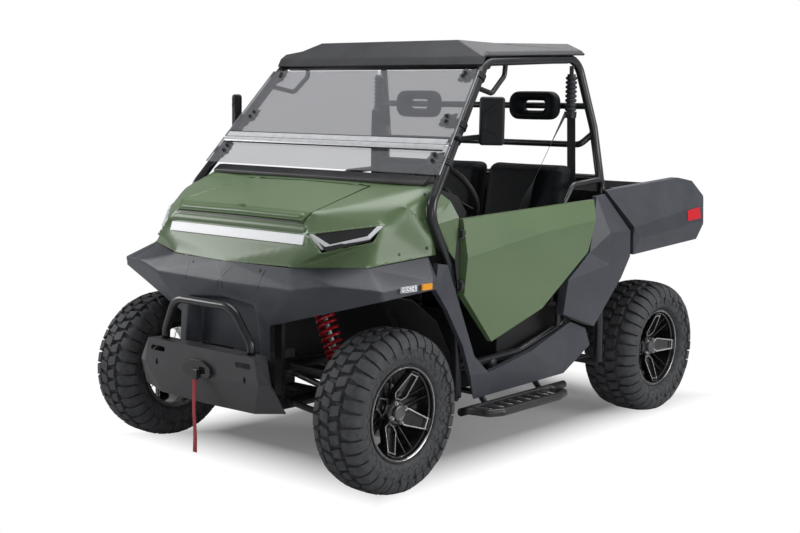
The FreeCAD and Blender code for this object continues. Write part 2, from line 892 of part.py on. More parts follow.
def half_shafts():
    """Drive shafts from each gearbox to each hub, with a boot at the inner end."""
    shafts = []
    z_in = rail_top + 75.0
    ends = (
        (front_y, gearbox_half * width_share, kingpin_x - 24.0),
        (rear_y, motor_half * width_share, carrier_x - 24.0),
    )
    for y, start, end in ends:
        inner = V(start + 18.0, y, z_in)
        outer = V(end - 14.0, y, axle_height)
        line = outer - inner
        shafts += pair(fused([
            rod(V(start, y, z_in), inner, 16.0), rod(inner, outer, 13.0),
            Part.makeCone(32.0, 17.0, 60.0, inner, line),
        ]))
    return apart(shafts)


shaped("half_shafts", half_shafts())

# Cage

front_pillar = [(690, -560, 315), (700, -600, 800), (724, -805, 1108), (603, -300, 1712)]
rear_pillar = [(603, 400, 1748), (648, 488, 1430), (682, 520, 1140), (690, 530, 315)]
headrest_bar = (458.0, 1530.0)
back_bar = (452.0, 1350.0)
shoulder_bar = (520.0, 1190.0)
side_inner_x = 728.0


def pillar_seat():
    """Room for the side hoop, where a panel is fitted around it."""
    return tube(front_pillar + rear_pillar, cage_radius + seat_gap, 90.0)


def pillar_at(z):
    """Centre of the left front pillar at one drawn height above its bend."""
    (ax, ay, az), (bx, by, bz) = front_pillar[2:]
    share = (z - az) / (bz - az)
    return V(ax + (bx - ax) * share, ay + (by - ay) * share, z)


def roll_cage():
    """Side hoops, rocker tubes, cross bars, hip bars, grab handles and panel brackets."""
    r = cage_radius
    side = tube(front_pillar + rear_pillar, r, 90.0)
    rocker = tube([(692, -566, 440), (700, -140, 455), (700, 170, 530), (686, 524, 1050)], r - 2.0, 90.0)
    hip = tube([(706, 150, 520), (706, 168, 1089), (704, 240, 1172), (682, 515, 1187)], 13.0, 50.0)
    handle = tube([(603, -155, 1712), (600, -158, 1655), (603, -250, 1578), (622, -390, 1603)], 11.0, 30.0)
    parts = pair(side) + pair(rocker) + pair(hip) + pair(handle)
    for y, z in ((-275, 1700), (322, 1742)):
        parts.append(rod((-600, y, z), (600, y, z), r))
    parts.append(rod((-640, *headrest_bar), (640, *headrest_bar), 15.0))
    y, z = back_bar
    loop = [(-652, y + 48, z + 62), (-600, y, z), (600, y, z), (652, y + 48, z + 62)]
    parts.append(tube(loop, 15.0, 40.0))
    parts.append(rod((-676, *shoulder_bar), (676, *shoulder_bar), r))
    for y in (-560, 530):
        for side_sign in (-1, 1):
            parts.append(rod((side_sign * rail_outer, y, 315), (side_sign * 690, y, 315), r))
    for y, z in ((-350, 425), (528, 800)):
        parts += pair(block((690, y - 15, z - 15), (side_inner_x, y + 15, z + 25)))
    return fused(parts)


shaped("roll_cage", roll_cage())


def roof_panel():
    """Moulded hard top with sloped edges, a visor lip and a rear bead."""
    top = get("drawn_roof_height")
    corners = {
        "fl": (618, -344.9, 1700), "fc": (0, -344.9, 1700), "fk": (622, -318, 1738),
        "rl": (632, 425, 1768), "rc": (0, 425, 1768),
        "uf": (606, -322, 1734), "ufc": (0, -322, 1734), "uk": (608, -300, 1757),
        "ur": (620, 410, 1786), "urc": (0, 410, 1786),
        "tf": (411, -250, top - 6), "tfc": (0, -250, top - 6),
        "tm": (560, -120, 1796), "tr": (555, 395, top), "trc": (0, 395, top),
    }
    facets = [
        ("fc", "fl", "uf", "ufc"), ("fl", "fk", "uf"), ("fk", "uk", "uf"), ("fk", "rl", "ur", "uk"),
        ("rl", "rc", "urc", "ur"), ("ufc", "uf", "tf", "tfc"), ("uf", "uk", "tm"), ("uf", "tm", "tf"),
        ("uk", "ur", "tm"), ("tm", "ur", "tr"), ("ur", "urc", "trc", "tr"), ("tfc", "tf", "tm"),
        ("tfc", "tm", "tr"), ("tfc", "tr", "trc"),
    ]
    bead = prism([(418, 1770), (444, 1767), (452, 1778), (444, 1791), (420, 1789)], -622.0, 622.0)
    return fused([whole_skin(corners, facets, 6.0, (0, 50, 1500)), bead])


shaped("roof_panel", roof_panel())

# Windshield

clamp_wall = 4.0
split_z = 1362.0
pillar_line = (spot(front_pillar[3]) - spot(front_pillar[2])).normalize()
pillar_upright = pillar_line.z / math.hypot(pillar_line.y, pillar_line.z)
screen_stand = (cage_radius + clamp_wall + seat_gap) / pillar_upright


def screen_corner(side, z):
    """A corner of the screen's back face, in front of the pillar's clamps."""
    beside = spot(tuple(pillar_at(z)))
    return V(side * (beside.x + 12.0), beside.y - screen_stand, beside.z)


def pane(low_z, high_z):
    """One flat pane between two heights."""
    ring = []
    for side, z in ((-1, low_z), (1, low_z), (1, high_z), (-1, high_z)):
        ring.append(screen_corner(side, z))
    face = Part.Face(Part.makePolygon(ring + ring[:1]))
    push = (ring[1] - ring[0]).cross(ring[3] - ring[0]).normalize() * get("glass_wall")
    return face.extrude(push)


shaped("windshield_lower", pane(1248.0, split_z - 3.0))
shaped("windshield_upper", pane(split_z + 3.0, 1672.0))


def windshield_clamps():
    """Rings on the pillars, each with a plate that the glass is bolted to."""
    clamps = []
    for z in (1645.0, 1440.0, 1290.0):
        centre = spot(tuple(pillar_at(z)))
        line = pillar_line
        back = V(0, -line.z, line.y).normalize()
        ring = Part.makeCylinder(cage_radius + clamp_wall, 26.0, centre - line * 13.0, line)
        inward = line.cross(back).normalize()
        if inward.x > 0:
            inward = inward * -1.0
        near = centre + back * (cage_radius - 2.0)
        far = near + inward * 62.0
        up = line * 26.0
        outline = [near - up, far - up * 0.7, far + up * 0.7, near + up]
        plate = Part.Face(Part.makePolygon(outline + outline[:1])).extrude(back * (clamp_wall + 2.0))
        bore = Part.makeCylinder(cage_radius + seat_gap, 90.0, centre - line * 45.0, line)
        whole = plate.fuse(ring).cut(bore)
        clamps += pair(max(whole.Solids, key=lambda solid: solid.Volume))
    return apart(clamps)


shaped("windshield_clamps", windshield_clamps())

# Nose

hood_wall = 16.0
hood_hinge = (0.0, -764.0, 1190.0)
hinge_barrel = 7.0


def hood_lid():
    """Front lid with its folded front lip and its hinge barrels."""
    corners = {
        "lip": (373, -1165, 1070), "lip0": (0, -1165, 1072),
        "kink": (394, -1132, 1102), "kink0": (0, -1138, 1106),
        "rear": (366, -772, 1189), "rear0": (0, -772, 1194),
    }
    facets = [("lip0", "lip", "kink", "kink0"), ("kink0", "kink", "rear", "rear0")]
    lid = [whole_skin(corners, facets, hood_wall, (0, -900, 900))]
    bores = []
    y, z = hood_hinge[1:]
    for x in (-300.0, 300.0):
        barrel, bore, _ = barrel_and_pin((x, y, z), ACROSS, 15.0, hinge_barrel)
        lid += [barrel, block((x - 15, y - 12, z - 7), (x + 15, y, z + 1))]
        bores.append(bore)
    return fused(lid).cut(Part.makeCompound(bores))


shaped("hood_lid", hood_lid())
lamp_corners = {
    "l1": (424, -1184, 1020), "l2": (645, -985, 1059), "l3": (635, -1030, 996), "l4": (500, -1180, 948),
}


def front_body():
    """Painted nose: light band, fender tops, cowl, cowl sides and the hood's hinge ears."""
    corners = {
        "a0": (0, -1230, 881), "a1": (351, -1206, 883), "a2": (648, -1072, 898), "a3": (715, -767, 930),
        "a4": (688, -712, 925),
        "b0": (0, -1184, 972), "b1": (413, -1184, 970),
        "c0": (0, -1168, 1018), "c1": (410, -1168, 1018),
        "d0": (0, -1161, 1064), "d1": (376, -1161, 1062),
        "e1": (402, -1129, 1101.5), "r0": (0, -752, 1195), "r1": (373, -752, 1190),
        "t0": (0, -700, 1212), "cw": (660, -700, 1210), "s1": (684, -728, 1180), "m1": (669, -892, 1131),
        **lamp_corners,
    }
    facets = [
        ("a0", "a1", "b1", "b0"), ("b0", "b1", "c1", "c0"), ("c0", "c1", "d1", "d0"),
        ("r0", "r1", "cw", "t0"), ("e1", "r1", "cw"),
        ("d1", "c1", "l1"), ("d1", "l1", "e1"), ("e1", "l1", "l2"), ("e1", "l2", "m1"), ("e1", "m1", "cw"),
        ("b1", "l1", "c1"), ("b1", "l4", "l1"), ("a1", "l4", "b1"), ("a1", "a2", "l3"), ("a1", "l3", "l4"),
        ("l3", "a2", "l2"), ("m1", "s1", "cw"), ("l2", "a3", "m1"), ("m1", "a3", "s1"), ("l2", "a2", "a3"),
        ("a3", "a4", "s1"),
    ]
    nose = [whole_skin(corners, facets, panel_wall, (0, -700, 700))]
    y, z = hood_hinge[1:]
    for x in (-300.0, 300.0):
        _, _, pin = barrel_and_pin((x, y, z), ACROSS, 15.0, hinge_barrel)
        nose.append(pin)
        for side in (-1, 1):
            middle = x + side * 18.8
            nose.append(block((middle - 3.2, y - 4.0, z - 5.0), (middle + 3.2, y + 16.0, z + 5.0)))
    seat = pillar_seat()
    whole = fused(nose).cut(apart(pair(seat)))
    return max(whole.Solids, key=lambda solid: solid.Volume)


shaped("front_body", front_body())


def headlamps():
    """Lamp housings set into the openings of the nose."""
    centre = V(0, 0, 0)
    for place in lamp_corners.values():
        centre = centre + V(*place) / len(lamp_corners)
    set_back = {}
    for name, place in lamp_corners.items():
        towards = centre - V(*place)
        set_back[name] = tuple(V(*place) + towards * (17.0 / towards.Length) + V(-3, 8, 0))
    lamp = thick_skin(set_back, [("l1", "l4", "l3"), ("l1", "l3", "l2")], 14.0, (300, -800, 900))
    return apart(pair(lamp))


shaped("headlamps", headlamps())
extrusion("light_bar", [(-1183.4, 976), (-1169.9, 1014), (-1177, 1014), (-1190, 976)], -402.0, 402.0)
trim_line = [(-735, 1201), (-700, 1213), (-668, 1213), (-668, 1238), (-700, 1238), (-735, 1216)]
extrusion("cowl_trim", trim_line, -640.0, 640.0)


def front_fascia():
    """Charcoal bumper moulding with the fender edges and the bull bar's recess."""
    corners = {
        "g0": (0, -1230, 880.2), "g1": (351, -1206, 882.2), "g2": (650, -1072, 897), "g3": (720, -800, 925),
        "f0": (0, -1262, 800), "f1": (422, -1250, 803), "f3": (582, -1211, 832), "f5": (778, -1140, 824),
        "f6": (795, -850, 838), "f7": (775, -800, 832),
        "e1": (269, -1238, 644), "e2": (776, -1134, 787), "e6": (790, -850, 806), "e7": (772, -800, 802),
        "m0": (0, -1254, 738), "m1": (200, -1254, 720), "m2": (232, -1246, 505), "k1": (275, -1240, 505),
        "n0": (0, -1185, 720), "n1": (185, -1185, 705), "n2": (200, -1185, 515), "n3": (0, -1185, 515),
    }
    facets = [
        ("g0", "f0", "f1", "g1"), ("g1", "f1", "f3"), ("g1", "f3", "g2"), ("g2", "f3", "f5"),
        ("g2", "f5", "f6"), ("g2", "f6", "g3"), ("g3", "f6", "f7"),
        ("f0", "m0", "m1"), ("f0", "m1", "f1"), ("f1", "m1", "e1"), ("m1", "m2", "k1"), ("m1", "k1", "e1"),
        ("f1", "e1", "e2"), ("f1", "e2", "f3"), ("f3", "e2", "f5"),
        ("f5", "e2", "e6"), ("f5", "e6", "f6"), ("f6", "e6", "e7"), ("f6", "e7", "f7"),
        ("m0", "n0", "n1", "m1"), ("m1", "n1", "n2"), ("m1", "n2", "m2"), ("n0", "n3", "n2", "n1"),
    ]
    return whole_skin(corners, facets, panel_wall, (0, -700, 780))


shaped("front_fascia", front_fascia())
plate_top = 540.0


def teardrop(x, z):
    """A recovery hole: round below, drawn to a point above."""
    hole = [rod((x, plate_front - 20, z), (x, plate_front + 60, z), 9.0)]
    ring = [spot((x + dx, plate_front - 20, z + dz)) for dx, dz in ((-8, 4), (8, 4), (0, 21))]
    hole.append(Part.Face(Part.makePolygon(ring + ring[:1])).extrude(V(0, 80, 0)))
    return hole[0].fuse(hole[1])


def slot(x, z):
    """A long step hole with round ends."""
    ends = [rod((x + dx, plate_front - 20, z), (x + dx, plate_front + 60, z), 11.0) for dx in (-34, 34)]
    return fused(ends + [block((x - 34, plate_front - 20, z - 11), (x + 34, plate_front + 60, z + 11))])


def bumper_plate():
    """Steel plate below the nose, folded back at its top, foot and ends, with its step and recovery holes."""
    top_rear = plate_front + 72.0
    corners = {
        "t0": (0, top_rear, plate_top), "t1": (318, top_rear, plate_top),
        "u0": (0, plate_front, plate_top), "u1": (325, plate_front, plate_top),
        "m0": (0, plate_front, 425), "m1": (350, plate_front, 435), "w1": (400, plate_front + 20.0, 440),
        "b0": (0, plate_front + 42.0, 300), "b1": (285, plate_front + 40.0, 306),
        "w2": (430, plate_front + 70.0, 325),
    }
    facets = [
        ("t0", "t1", "u1", "u0"), ("u0", "u1", "m1", "m0"), ("m0", "m1", "b1", "b0"),
        ("u1", "w1", "m1"), ("m1", "w1", "w2"), ("m1", "w2", "b1"), ("t1", "w1", "u1"),
    ]
    holes = []
    for side in (-1, 1):
        holes += [slot(side * 262.0, 502.0), teardrop(side * 270.0, 442.0)]
    return whole_skin(corners, facets, panel_wall, (0, -1000, 450)).cut(apart(holes))


shaped("bumper_plate", bumper_plate())


def bull_bar():
    """Bent hoop that stands on the bumper plate."""
    y = plate_front + 44.0
    foot = [(262, y, plate_top + seat_gap), (262, y, 578), (176, y - 20, 721)]
    other = [(-across, along, up) for across, along, up in foot[::-1]]
    return tube(foot + other, 17.0, 92.0)


shaped("bull_bar", bull_bar())


strap_top = 412.0
hook_stand = 16.0
strap_front = plate_front - hook_stand - 9.5


def winch():
    """Fairlead plate on the bumper, its slot, and the eye that the strap hangs from."""
    half = [(20, 490), (46, 484), (80, 466), (84, 440), (68, 424), (34, 420)]
    outline = half + [(-x, z) for x, z in half[::-1]]
    ring = [spot((x, plate_front, z)) for x, z in outline]
    fairlead = Part.Face(Part.makePolygon(ring + ring[:1])).extrude(V(0, -hook_stand, 0))
    fairlead = fairlead.cut(block((18, plate_front - 20, 438), (54, plate_front - 3, 466)))
    hook_back = plate_front - hook_stand
    hook = block((-16, hook_back - 12, strap_top), (16, hook_back, 452))
    return fused([fairlead, hook])


shaped("winch", winch())
together("hook_strap", [slab("strap_web", (-12.5, strap_front, 110), (12.5, strap_front + 3, strap_top))])


toe_half = 436.0
arch_radius = tyre_radius + 122.0


def wheel_liners():
    """Arches over the front wheels."""
    line = []
    for angle in (108.0, 90.0, 68.0, 44.0, 20.0, 3.0):
        across = arch_radius * math.cos(math.radians(angle))
        line.append((front_axle + across, axle_height + arch_radius * math.sin(math.radians(angle))))
    return apart(pair(bent_sheet(line, 3.0, toe_half + seat_gap, 662.0)))


shaped("wheel_liners", wheel_liners())

# Cabin

toe_y = front_axle + arch_radius + 7.0
firewall_y = -742.0


def cabin_floor():
    """Floor pan with the toe board, its side walls and the firewall."""
    wall = get("floor_wall")
    floor = block((-668, toe_y, rail_top), (668, 508, floor_top))
    line = [(toe_y, rail_top + wall / 2), (firewall_y, 700), (firewall_y, 1150)]
    toe = bent_sheet(line, wall, -toe_half, toe_half)
    upper = block((-640, firewall_y - wall / 2, 735), (640, firewall_y + wall / 2, 1150))
    corner = [
        (toe_y - 5, 344), (firewall_y, 700), (firewall_y, 735), (toe_y - 115, 648), (toe_y - 18, 455), (toe_y - 5, 350),
    ]
    sides = [prism(corner, side * (toe_half - 2.0) - 2.0, side * (toe_half - 2.0) + 2.0) for side in (-1, 1)]
    return fused([floor, toe, upper] + sides)


shaped("cabin_floor", cabin_floor())
seat_front = -220.0
seat_rear = 330.0
seat_top = 612.0


def seat_base():
    """Black moulded box under the seats, open below."""
    outline = [(seat_front, floor_top), (seat_rear, floor_top), (seat_rear, seat_top), (seat_front, seat_top)]
    base = extrusion("seat_base", outline, -640.0, 640.0)
    inside = [
        (seat_front + 10, floor_top), (seat_rear - 10, floor_top), (seat_rear - 10, seat_top - 10),
        (seat_front + 10, seat_top - 10),
    ]
    carve(base, "seat_base_hollow", inside, -630.0, 630.0)


seat_base()
seat_spans = ((-560.0, 155.0), (185.0, 640.0))


def seats():
    """Cushions and backs: a double seat and the driver's seat."""
    low_z = seat_top + seat_gap
    cushion = [(-262, 640), (-240, 760), (171.8, 731.6), (237.8, 691.6), (237.8, low_z), (-225, low_z)]
    back = [(172, 732), (262, 1240), (300, 1272), (372, 1262), (290, 700), (238, 692)]
    return apart([prism(outline, low, high) for low, high in seat_spans for outline in (cushion, back)])


shaped("seats", seats())


def headrests():
    """Padded rests on the cross bar, each with a hole through its middle."""
    parts = []
    y, z = headrest_bar
    half_depth = 32.0
    for x in (-362.0, 362.0):
        place = spot((x, y, z)) - V(0, 15.0 + seat_gap + half_depth, 0)
        rest = true_block((-138, -half_depth, -68), (138, half_depth, 68))
        level = [edge for edge in rest.Edges if abs(edge.tangentAt(0).y) > 0.9]
        rest = rest.makeFillet(52.0, level)
        rest = rest.makeFillet(14.0, [edge for edge in rest.Edges if edge.BoundBox.YLength < 1.0])
        hole = true_block((-40, -half_depth - 1, -18), (40, half_depth + 1, 26))
        rest = rest.cut(hole.makeFillet(18.0, [edge for edge in hole.Edges if edge.BoundBox.YLength > 10.0]))
        rest.translate(place)
        parts.append(rest)
    return apart(parts)


shaped("headrests", headrests())


def seat_belts():
    """Guide sleeves below the cage's rear corners, and taut belts down to and behind the seats."""
    parts = []
    seat_face = V(0, -508, 90).normalize()
    for side in (-1, 1):
        sleeve = rod((side * 597, 368, 1479), (side * 597, 368, 1676), 13.0)
        anchor = block((side * 597 - 12, 366, 1670), (side * 597 + 12, 369, 1713.4))
        parts.append(fused([sleeve, anchor]))
        parts.append(block((side * 597 - 24, 373, 1150), (side * 597 + 24, 375, 1478.7)))
        run = [(side * 590, 330, 1476), (side * 530, 268, 1290), (side * 478, 242.1, 1130), (side * 400, 183.6, 800)]
        strip = []
        for start, end in zip(run, run[1:]):
            a, b = spot(start), spot(end)
            across = seat_face.cross(b - a).normalize() * 24.0
            face = Part.Face(Part.makePolygon([a + across, a - across, b - across, b + across, a + across]))
            strip.append(face.extrude(seat_face * 2.0))
        parts += strip
    return apart(parts)


shaped("seat_belts", seat_belts())


def dashboard():
    """Dash moulding with the steering column's housing."""
    outline = [(-739.6, 880), (-739.6, 1140), (-660, 1196), (-500, 1150), (-440, 1080), (-470, 930), (-640, 860)]
    dash = prism(outline, -630.0, 630.0)
    housing = Part.makeCylinder(30.0, 240.0, wheel_centre + column_dir * 40.0, column_dir)
    bore = Part.makeCylinder(column_radius + get("pin_gap"), 80.0, wheel_centre + column_dir * 39.0, column_dir)
    return fused([dash, housing]).cut(bore)


shaped("dashboard", dashboard())


def side_mirrors():
    """Mirror housings, each on an arm from a clamp around the front pillar."""
    housing = true_block((-52, -21, -99), (52, 21, 99))
    housing = housing.makeFillet(14.0, housing.Edges)
    housing.rotate(ORIGIN, UP, 38.0)
    place = spot((773, -470, 1464))
    housing.translate(place)
    centre = spot(tuple(pillar_at(1388.0)))
    ring = Part.makeCylinder(cage_radius + clamp_wall, 34.0, centre - pillar_line * 17.0, pillar_line)
    arm = rod(centre, place - V(15.0, 12.0, 62.0), 11.0)
    bore = Part.makeCylinder(cage_radius + seat_gap, 90.0, centre - pillar_line * 45.0, pillar_line)
    whole = fused([housing, ring, arm]).cut(bore)
    return apart(pair(max(whole.Solids, key=lambda solid: solid.Volume)))


shaped("side_mirrors", side_mirrors())

# Side bodywork

side_y_front = -632.0
door_opening = [
    (side_y_front, 1076.0), (side_y_front + 8.0, 756.0), (-411.0, 533.0), (-60.0, 640.0), (289.0, 866.0),
    (366.0, 1110.0),
]
door_hinge = (762.0, side_y_front)
door_hinge_heights = (800.0, 1010.0)


def inset(outline, gap):
    """Move every side of a convex outline inwards by one gap."""
    count = len(outline)
    area = sum(outline[i][0] * outline[(i + 1) % count][1] - outline[(i + 1) % count][0] * outline[i][1]
               for i in range(count))
    sense = 1.0 if area > 0 else -1.0
    lines = []
    for i in range(count):
        ax, ay = outline[i]
        bx, by = outline[(i + 1) % count]
        length = math.hypot(bx - ax, by - ay)
        nx, ny = -(by - ay) / length * sense, (bx - ax) / length * sense
        lines.append((nx, ny, nx * ax + ny * ay + gap))
    corners = []
    for i in range(count):
        a, b, c = lines[i - 1]
        d, e, f = lines[i]
        det = a * e - b * d
        corners.append(((c * e - b * f) / det, (a * f - c * d) / det))
    return corners


def door():
    """Left half door: faceted skin over a flat inner face, with its hinge barrels."""
    top_front, low_front, tip, low_mid, low_rear, top_rear = inset(door_opening, get("door_gap"))
    corners = {
        "tf": (757, *top_front), "lf": (764, *low_front), "tip": (752, *tip), "lm": (766, *low_mid),
        "lr": (772, *low_rear), "tr": (748, *top_rear),
        "mf": (784, top_front[0] + 2.0, 915), "mr": (788, 318, 1015), "mm": (802, -118, 985),
    }
    facets = [
        ("tf", "mf", "mm"), ("tf", "mm", "tr"), ("tr", "mm", "mr"), ("mf", "lf", "mm"),
        ("lf", "tip", "mm"), ("mm", "tip", "lm"), ("mm", "lm", "lr"), ("mm", "lr", "mr"),
    ]
    panel = [side_slab(corners, facets, side_inner_x)]
    bores = []
    x, y = door_hinge
    for z in door_hinge_heights:
        barrel, bore, _ = barrel_and_pin((x, y, z), UP, 14.0, hinge_barrel)
        panel += [barrel, block((x - 6, y, z - 14), (x + 6, y + 12, z + 14))]
        bores.append(bore)
    return fused(panel).cut(Part.makeCompound(bores))


shaped("door_left", door())
shaped("door_right", mirrored(door()))


def cowl_cheeks():
    """Green panel between the front pillar and the door, with the door's hinge ears."""
    rear = side_y_front - get("door_gap")
    corners = {
        "a": (712, -722, 1176), "b": (722, -666, 1142), "c": (744, rear, 1076), "d": (750, rear, 768),
        "e": (738, -652, 905), "f": (724, -712, 978), "g": (716, -748, 1052), "h": (712, -757, 1108),
    }
    facets = [("b", "h", "a"), ("b", "g", "h"), ("b", "c", "g"), ("c", "f", "g"), ("c", "e", "f"), ("c", "d", "e")]
    cheek = [thick_skin(corners, facets, panel_wall, (0, -650, 1000))]
    x, y = door_hinge
    for z in door_hinge_heights:
        _, _, pin = barrel_and_pin((x, y, z), UP, 14.0, hinge_barrel)
        cheek.append(pin)
        for side in (-1, 1):
            middle = z + side * 17.8
            cheek.append(rod((x, y, middle - 3.2), (x, y, middle + 3.2), 5.0))
            cheek.append(block((741, y - 9.0, middle - 3.2), (x, y + 3.5, middle + 3.2)))
    whole = fused(cheek).cut(pillar_seat())
    return apart(pair(max(whole.Solids, key=lambda solid: solid.Volume)))


shaped("cowl_cheeks", cowl_cheeks())


def quarter_panels():
    """Charcoal panels behind the doors."""
    corners = {
        "a": (752, 372, 1118), "b": (732, 474, 1124), "c": (794, 613, 945), "d": (794, 618, 824),
        "e": (789, 554, 729), "f": (780, 340, 519), "g": (770, 100, 600), "i": (772, 131, 752),
        "j": (772, 298, 862), "h": (802, 425, 950), "k": (800, 430, 800),
    }
    facets = [
        ("a", "b", "h"), ("b", "c", "h"), ("c", "k", "h"), ("c", "d", "k"), ("d", "e", "k"), ("e", "f", "k"),
        ("f", "g", "k"), ("g", "i", "k"), ("i", "j", "k"), ("j", "h", "k"), ("j", "a", "h"),
    ]
    return apart(pair(side_slab(corners, facets, side_inner_x)))


shaped("quarter_panels", quarter_panels())


def sill_panels():
    """Charcoal sills with the legs that rise in front of the doors."""
    corners = {
        "a": (752, -775, 900), "b": (752, -712, 890), "c": (754, -646, 745), "d": (748, -520, 492),
        "e": (756, -430, 410), "f": (760, -130, 460), "g": (735, 212, 550), "h": (742, 328, 508),
        "i": (748, 361, 424), "j": (735, 168, 316), "k": (730, -496, 302), "l": (748, -545, 413),
        "m": (752, -605, 547), "n": (752, -712, 707), "o": (762, -800, 800),
    }
    facets = [
        ("a", "b", "o"), ("b", "n", "o"), ("b", "c", "n"), ("c", "m", "n"), ("c", "d", "m"), ("d", "l", "m"),
        ("d", "e", "l"), ("e", "k", "l"), ("e", "f", "k"), ("f", "j", "k"), ("f", "g", "j"), ("g", "i", "j"),
        ("g", "h", "i"),
    ]
    return apart(pair(side_slab(corners, facets, side_inner_x)))


shaped("sill_panels", sill_panels())


step_radius = 17.0


def side_steps():
    """Tube steps under the doors, each with an open tread in its loop and two arms from the frame."""
    inner = rod((742, -598, 264), (742, 160, 268), step_radius)
    loop = tube([
        (742, -548, 264), (835, -525, 264), (862, -470, 264), (862, -60, 264), (835, 30, 264), (742, 52, 266),
    ], step_radius, 30.0)
    arms = [tube([(rail_outer, y, 312), (700, y, 312), (742, y, 266)], 13.0, 30.0) for y in (-420, -20)]
    tread = block((742, -470, 270), (862, -70, 275))
    drains = []
    for i in range(6):
        y = -435.0 + i * 66.0
        drains.append(block((768, y, 260), (836, y + 34.0, 285)))
    return apart(pair(fused([inner, loop, tread.cut(apart(drains))] + arms)))


shaped("side_steps", side_steps())
white_lamp = slab("white_lamp", (789.5, -1048, 812), (798, -955, 836))
amber_lamp = slab("amber_lamp", (793.5, -928, 812), (802, -868, 836))
together("fender_lamps", [white_lamp, twin(white_lamp), amber_lamp, twin(amber_lamp)])

# Cargo bed

bed_front = 580.0
bed_rear = 1372.0
bed_top = 1128.0
bed_floor = 880.0
bed_half = 690.0
bed_hinge = (1255.0, 846.0)
gate_hinge = (1386.0, 888.0)
bed_wall = get("bed_wall")


def cargo_bed():
    """Open steel box with its hinge barrels below and the tailgate's ears behind."""
    outer = block((-bed_half, bed_front, bed_floor - bed_wall), (bed_half, bed_rear, bed_top))
    inner = block((-bed_half + bed_wall, bed_front + bed_wall, bed_floor),
                  (bed_half - bed_wall, bed_rear + 1, bed_top + 1))
    parts = [outer.cut(inner)]
    bores = []
    for x in (-300.0, 300.0):
        barrel, bore, _ = barrel_and_pin((x, *bed_hinge), ACROSS, 18.0, 14.0)
        web = block((x - 18, bed_hinge[0] - 10, bed_hinge[1]), (x + 18, bed_hinge[0] + 10, bed_floor - bed_wall))
        parts += [barrel, web]
        bores.append(bore)
    for x in (-480.0, 480.0):
        _, _, pin = barrel_and_pin((x, *gate_hinge), ACROSS, 15.0, hinge_barrel)
        parts.append(pin)
        for side in (-1, 1):
            middle = x + side * 18.8
            low = (middle - 3.2, bed_rear - 10, bed_floor - bed_wall)
            parts.append(block(low, (middle + 3.2, gate_hinge[0] + 5, gate_hinge[1] + 5)))
    return fused(parts).cut(Part.makeCompound(bores))


shaped("cargo_bed", cargo_bed())


def tailgate():
    """Rear door of the bed with its hinge barrels."""
    y, z = gate_hinge
    parts = [block((-bed_half + 8, y - 10, z + 12), (bed_half - 8, y + 10, bed_top))]
    bores = []
    for x in (-480.0, 480.0):
        barrel, bore, _ = barrel_and_pin((x, y, z), ACROSS, 15.0, hinge_barrel)
        parts += [barrel, block((x - 15, y - 6, z), (x + 15, y + 6, z + 13))]
        bores.append(bore)
    return fused(parts).cut(Part.makeCompound(bores))


shaped("tailgate", tailgate())


def rear_uprights():
    """Posts and cross tubes that carry the bed, with the pins of its hinge."""
    frames = []
    top = bed_floor - bed_wall
    y, z = bed_hinge
    for post_y in (700.0, 1195.0):
        parts = []
        for side in (-1, 1):
            x = side * rail_x
            parts.append(block((x - 18, post_y - 18, rail_top), (x + 18, post_y + 18, top - 40)))
        parts.append(block((-560, post_y - 18, top - 40), (560, post_y + 18, top - seat_gap)))
        if post_y > rear_axle:
            for x in (-300.0, 300.0):
                _, _, pin = barrel_and_pin((x, y, z), ACROSS, 18.0, 14.0)
                parts.append(pin)
                for side in (-1, 1):
                    middle = x + side * 21.8
                    parts.append(block((middle - 3.2, post_y, z - 8), (middle + 3.2, y + 8, z + 8)))
        frames.append(fused(parts))
    return apart(frames)


shaped("rear_uprights", rear_uprights())


def bed_side_panels():
    """Charcoal mouldings over the sides of the bed."""
    out_from_bed = {
        "a": (45, 478, 1140), "b": (45, 1156, 1178), "c": (58, 1278, 1158), "d": (75, 1372, 1079),
        "e": (75, 1384, 931), "f": (80, 1304, 858), "g": (90, 668, 827), "h": (100, 648, 936),
        "p": (110, 640, 962), "q": (110, 1275, 1036), "r": (110, 1310, 952), "s": (110, 690, 905),
    }
    corners = {name: (bed_half + x, y, z) for name, (x, y, z) in out_from_bed.items()}
    facets = [
        ("a", "p", "q"), ("a", "q", "b"), ("b", "q", "c"), ("c", "q", "d"), ("q", "r", "d"), ("d", "r", "e"),
        ("e", "r", "f"), ("r", "s", "g"), ("r", "g", "f"), ("p", "h", "s"), ("p", "s", "r"), ("p", "r", "q"),
        ("h", "g", "s"),
    ]
    panel = side_slab(corners, facets, bed_half + seat_gap)
    pillar_x = rear_pillar[3][0]
    return apart(pair(panel.cut(block((pillar_x - 40, 470, 800), (pillar_x + cage_radius + 8, 575, 1200)))))


shaped("bed_side_panels", bed_side_panels())


def tail_lamps():
    """Red lamps on the bed's sides."""
    outline = [(1142, 1014), (1262, 1027), (1282, 970), (1150, 962)]
    return apart(pair(prism(outline, bed_half + 110.2, bed_half + 114.5)))


shaped("tail_lamps", tail_lamps())

# Check every object, then write one file for each piece


def write_parts():
    """Stop on a failed object, then write the pieces."""
    doc.recompute()
    for thing in doc.Objects:
        for state in thing.State:
            if state in ("Invalid", "Error"):
                raise RuntimeError(f"{thing.Label} is {state}")
    for label, piece in pieces.items():
        shape = piece.Shape
        if shape.isNull() or not shape.isValid():
            raise RuntimeError(f"{label} has no valid shape")
        if not shape.Solids:
            raise RuntimeError(f"{label} has no solid")
    os.makedirs("parts", exist_ok=True)
    for label, piece in pieces.items():
        piece.Shape.exportStep(f"parts/{label}.step")
        print(label, len(piece.Shape.Solids), round(piece.Shape.Volume / 1e6, 3))


write_parts()
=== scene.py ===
import json
import math

import bmesh
import bpy
from mathutils import Matrix, Vector
from mathutils.bvhtree import BVHTree

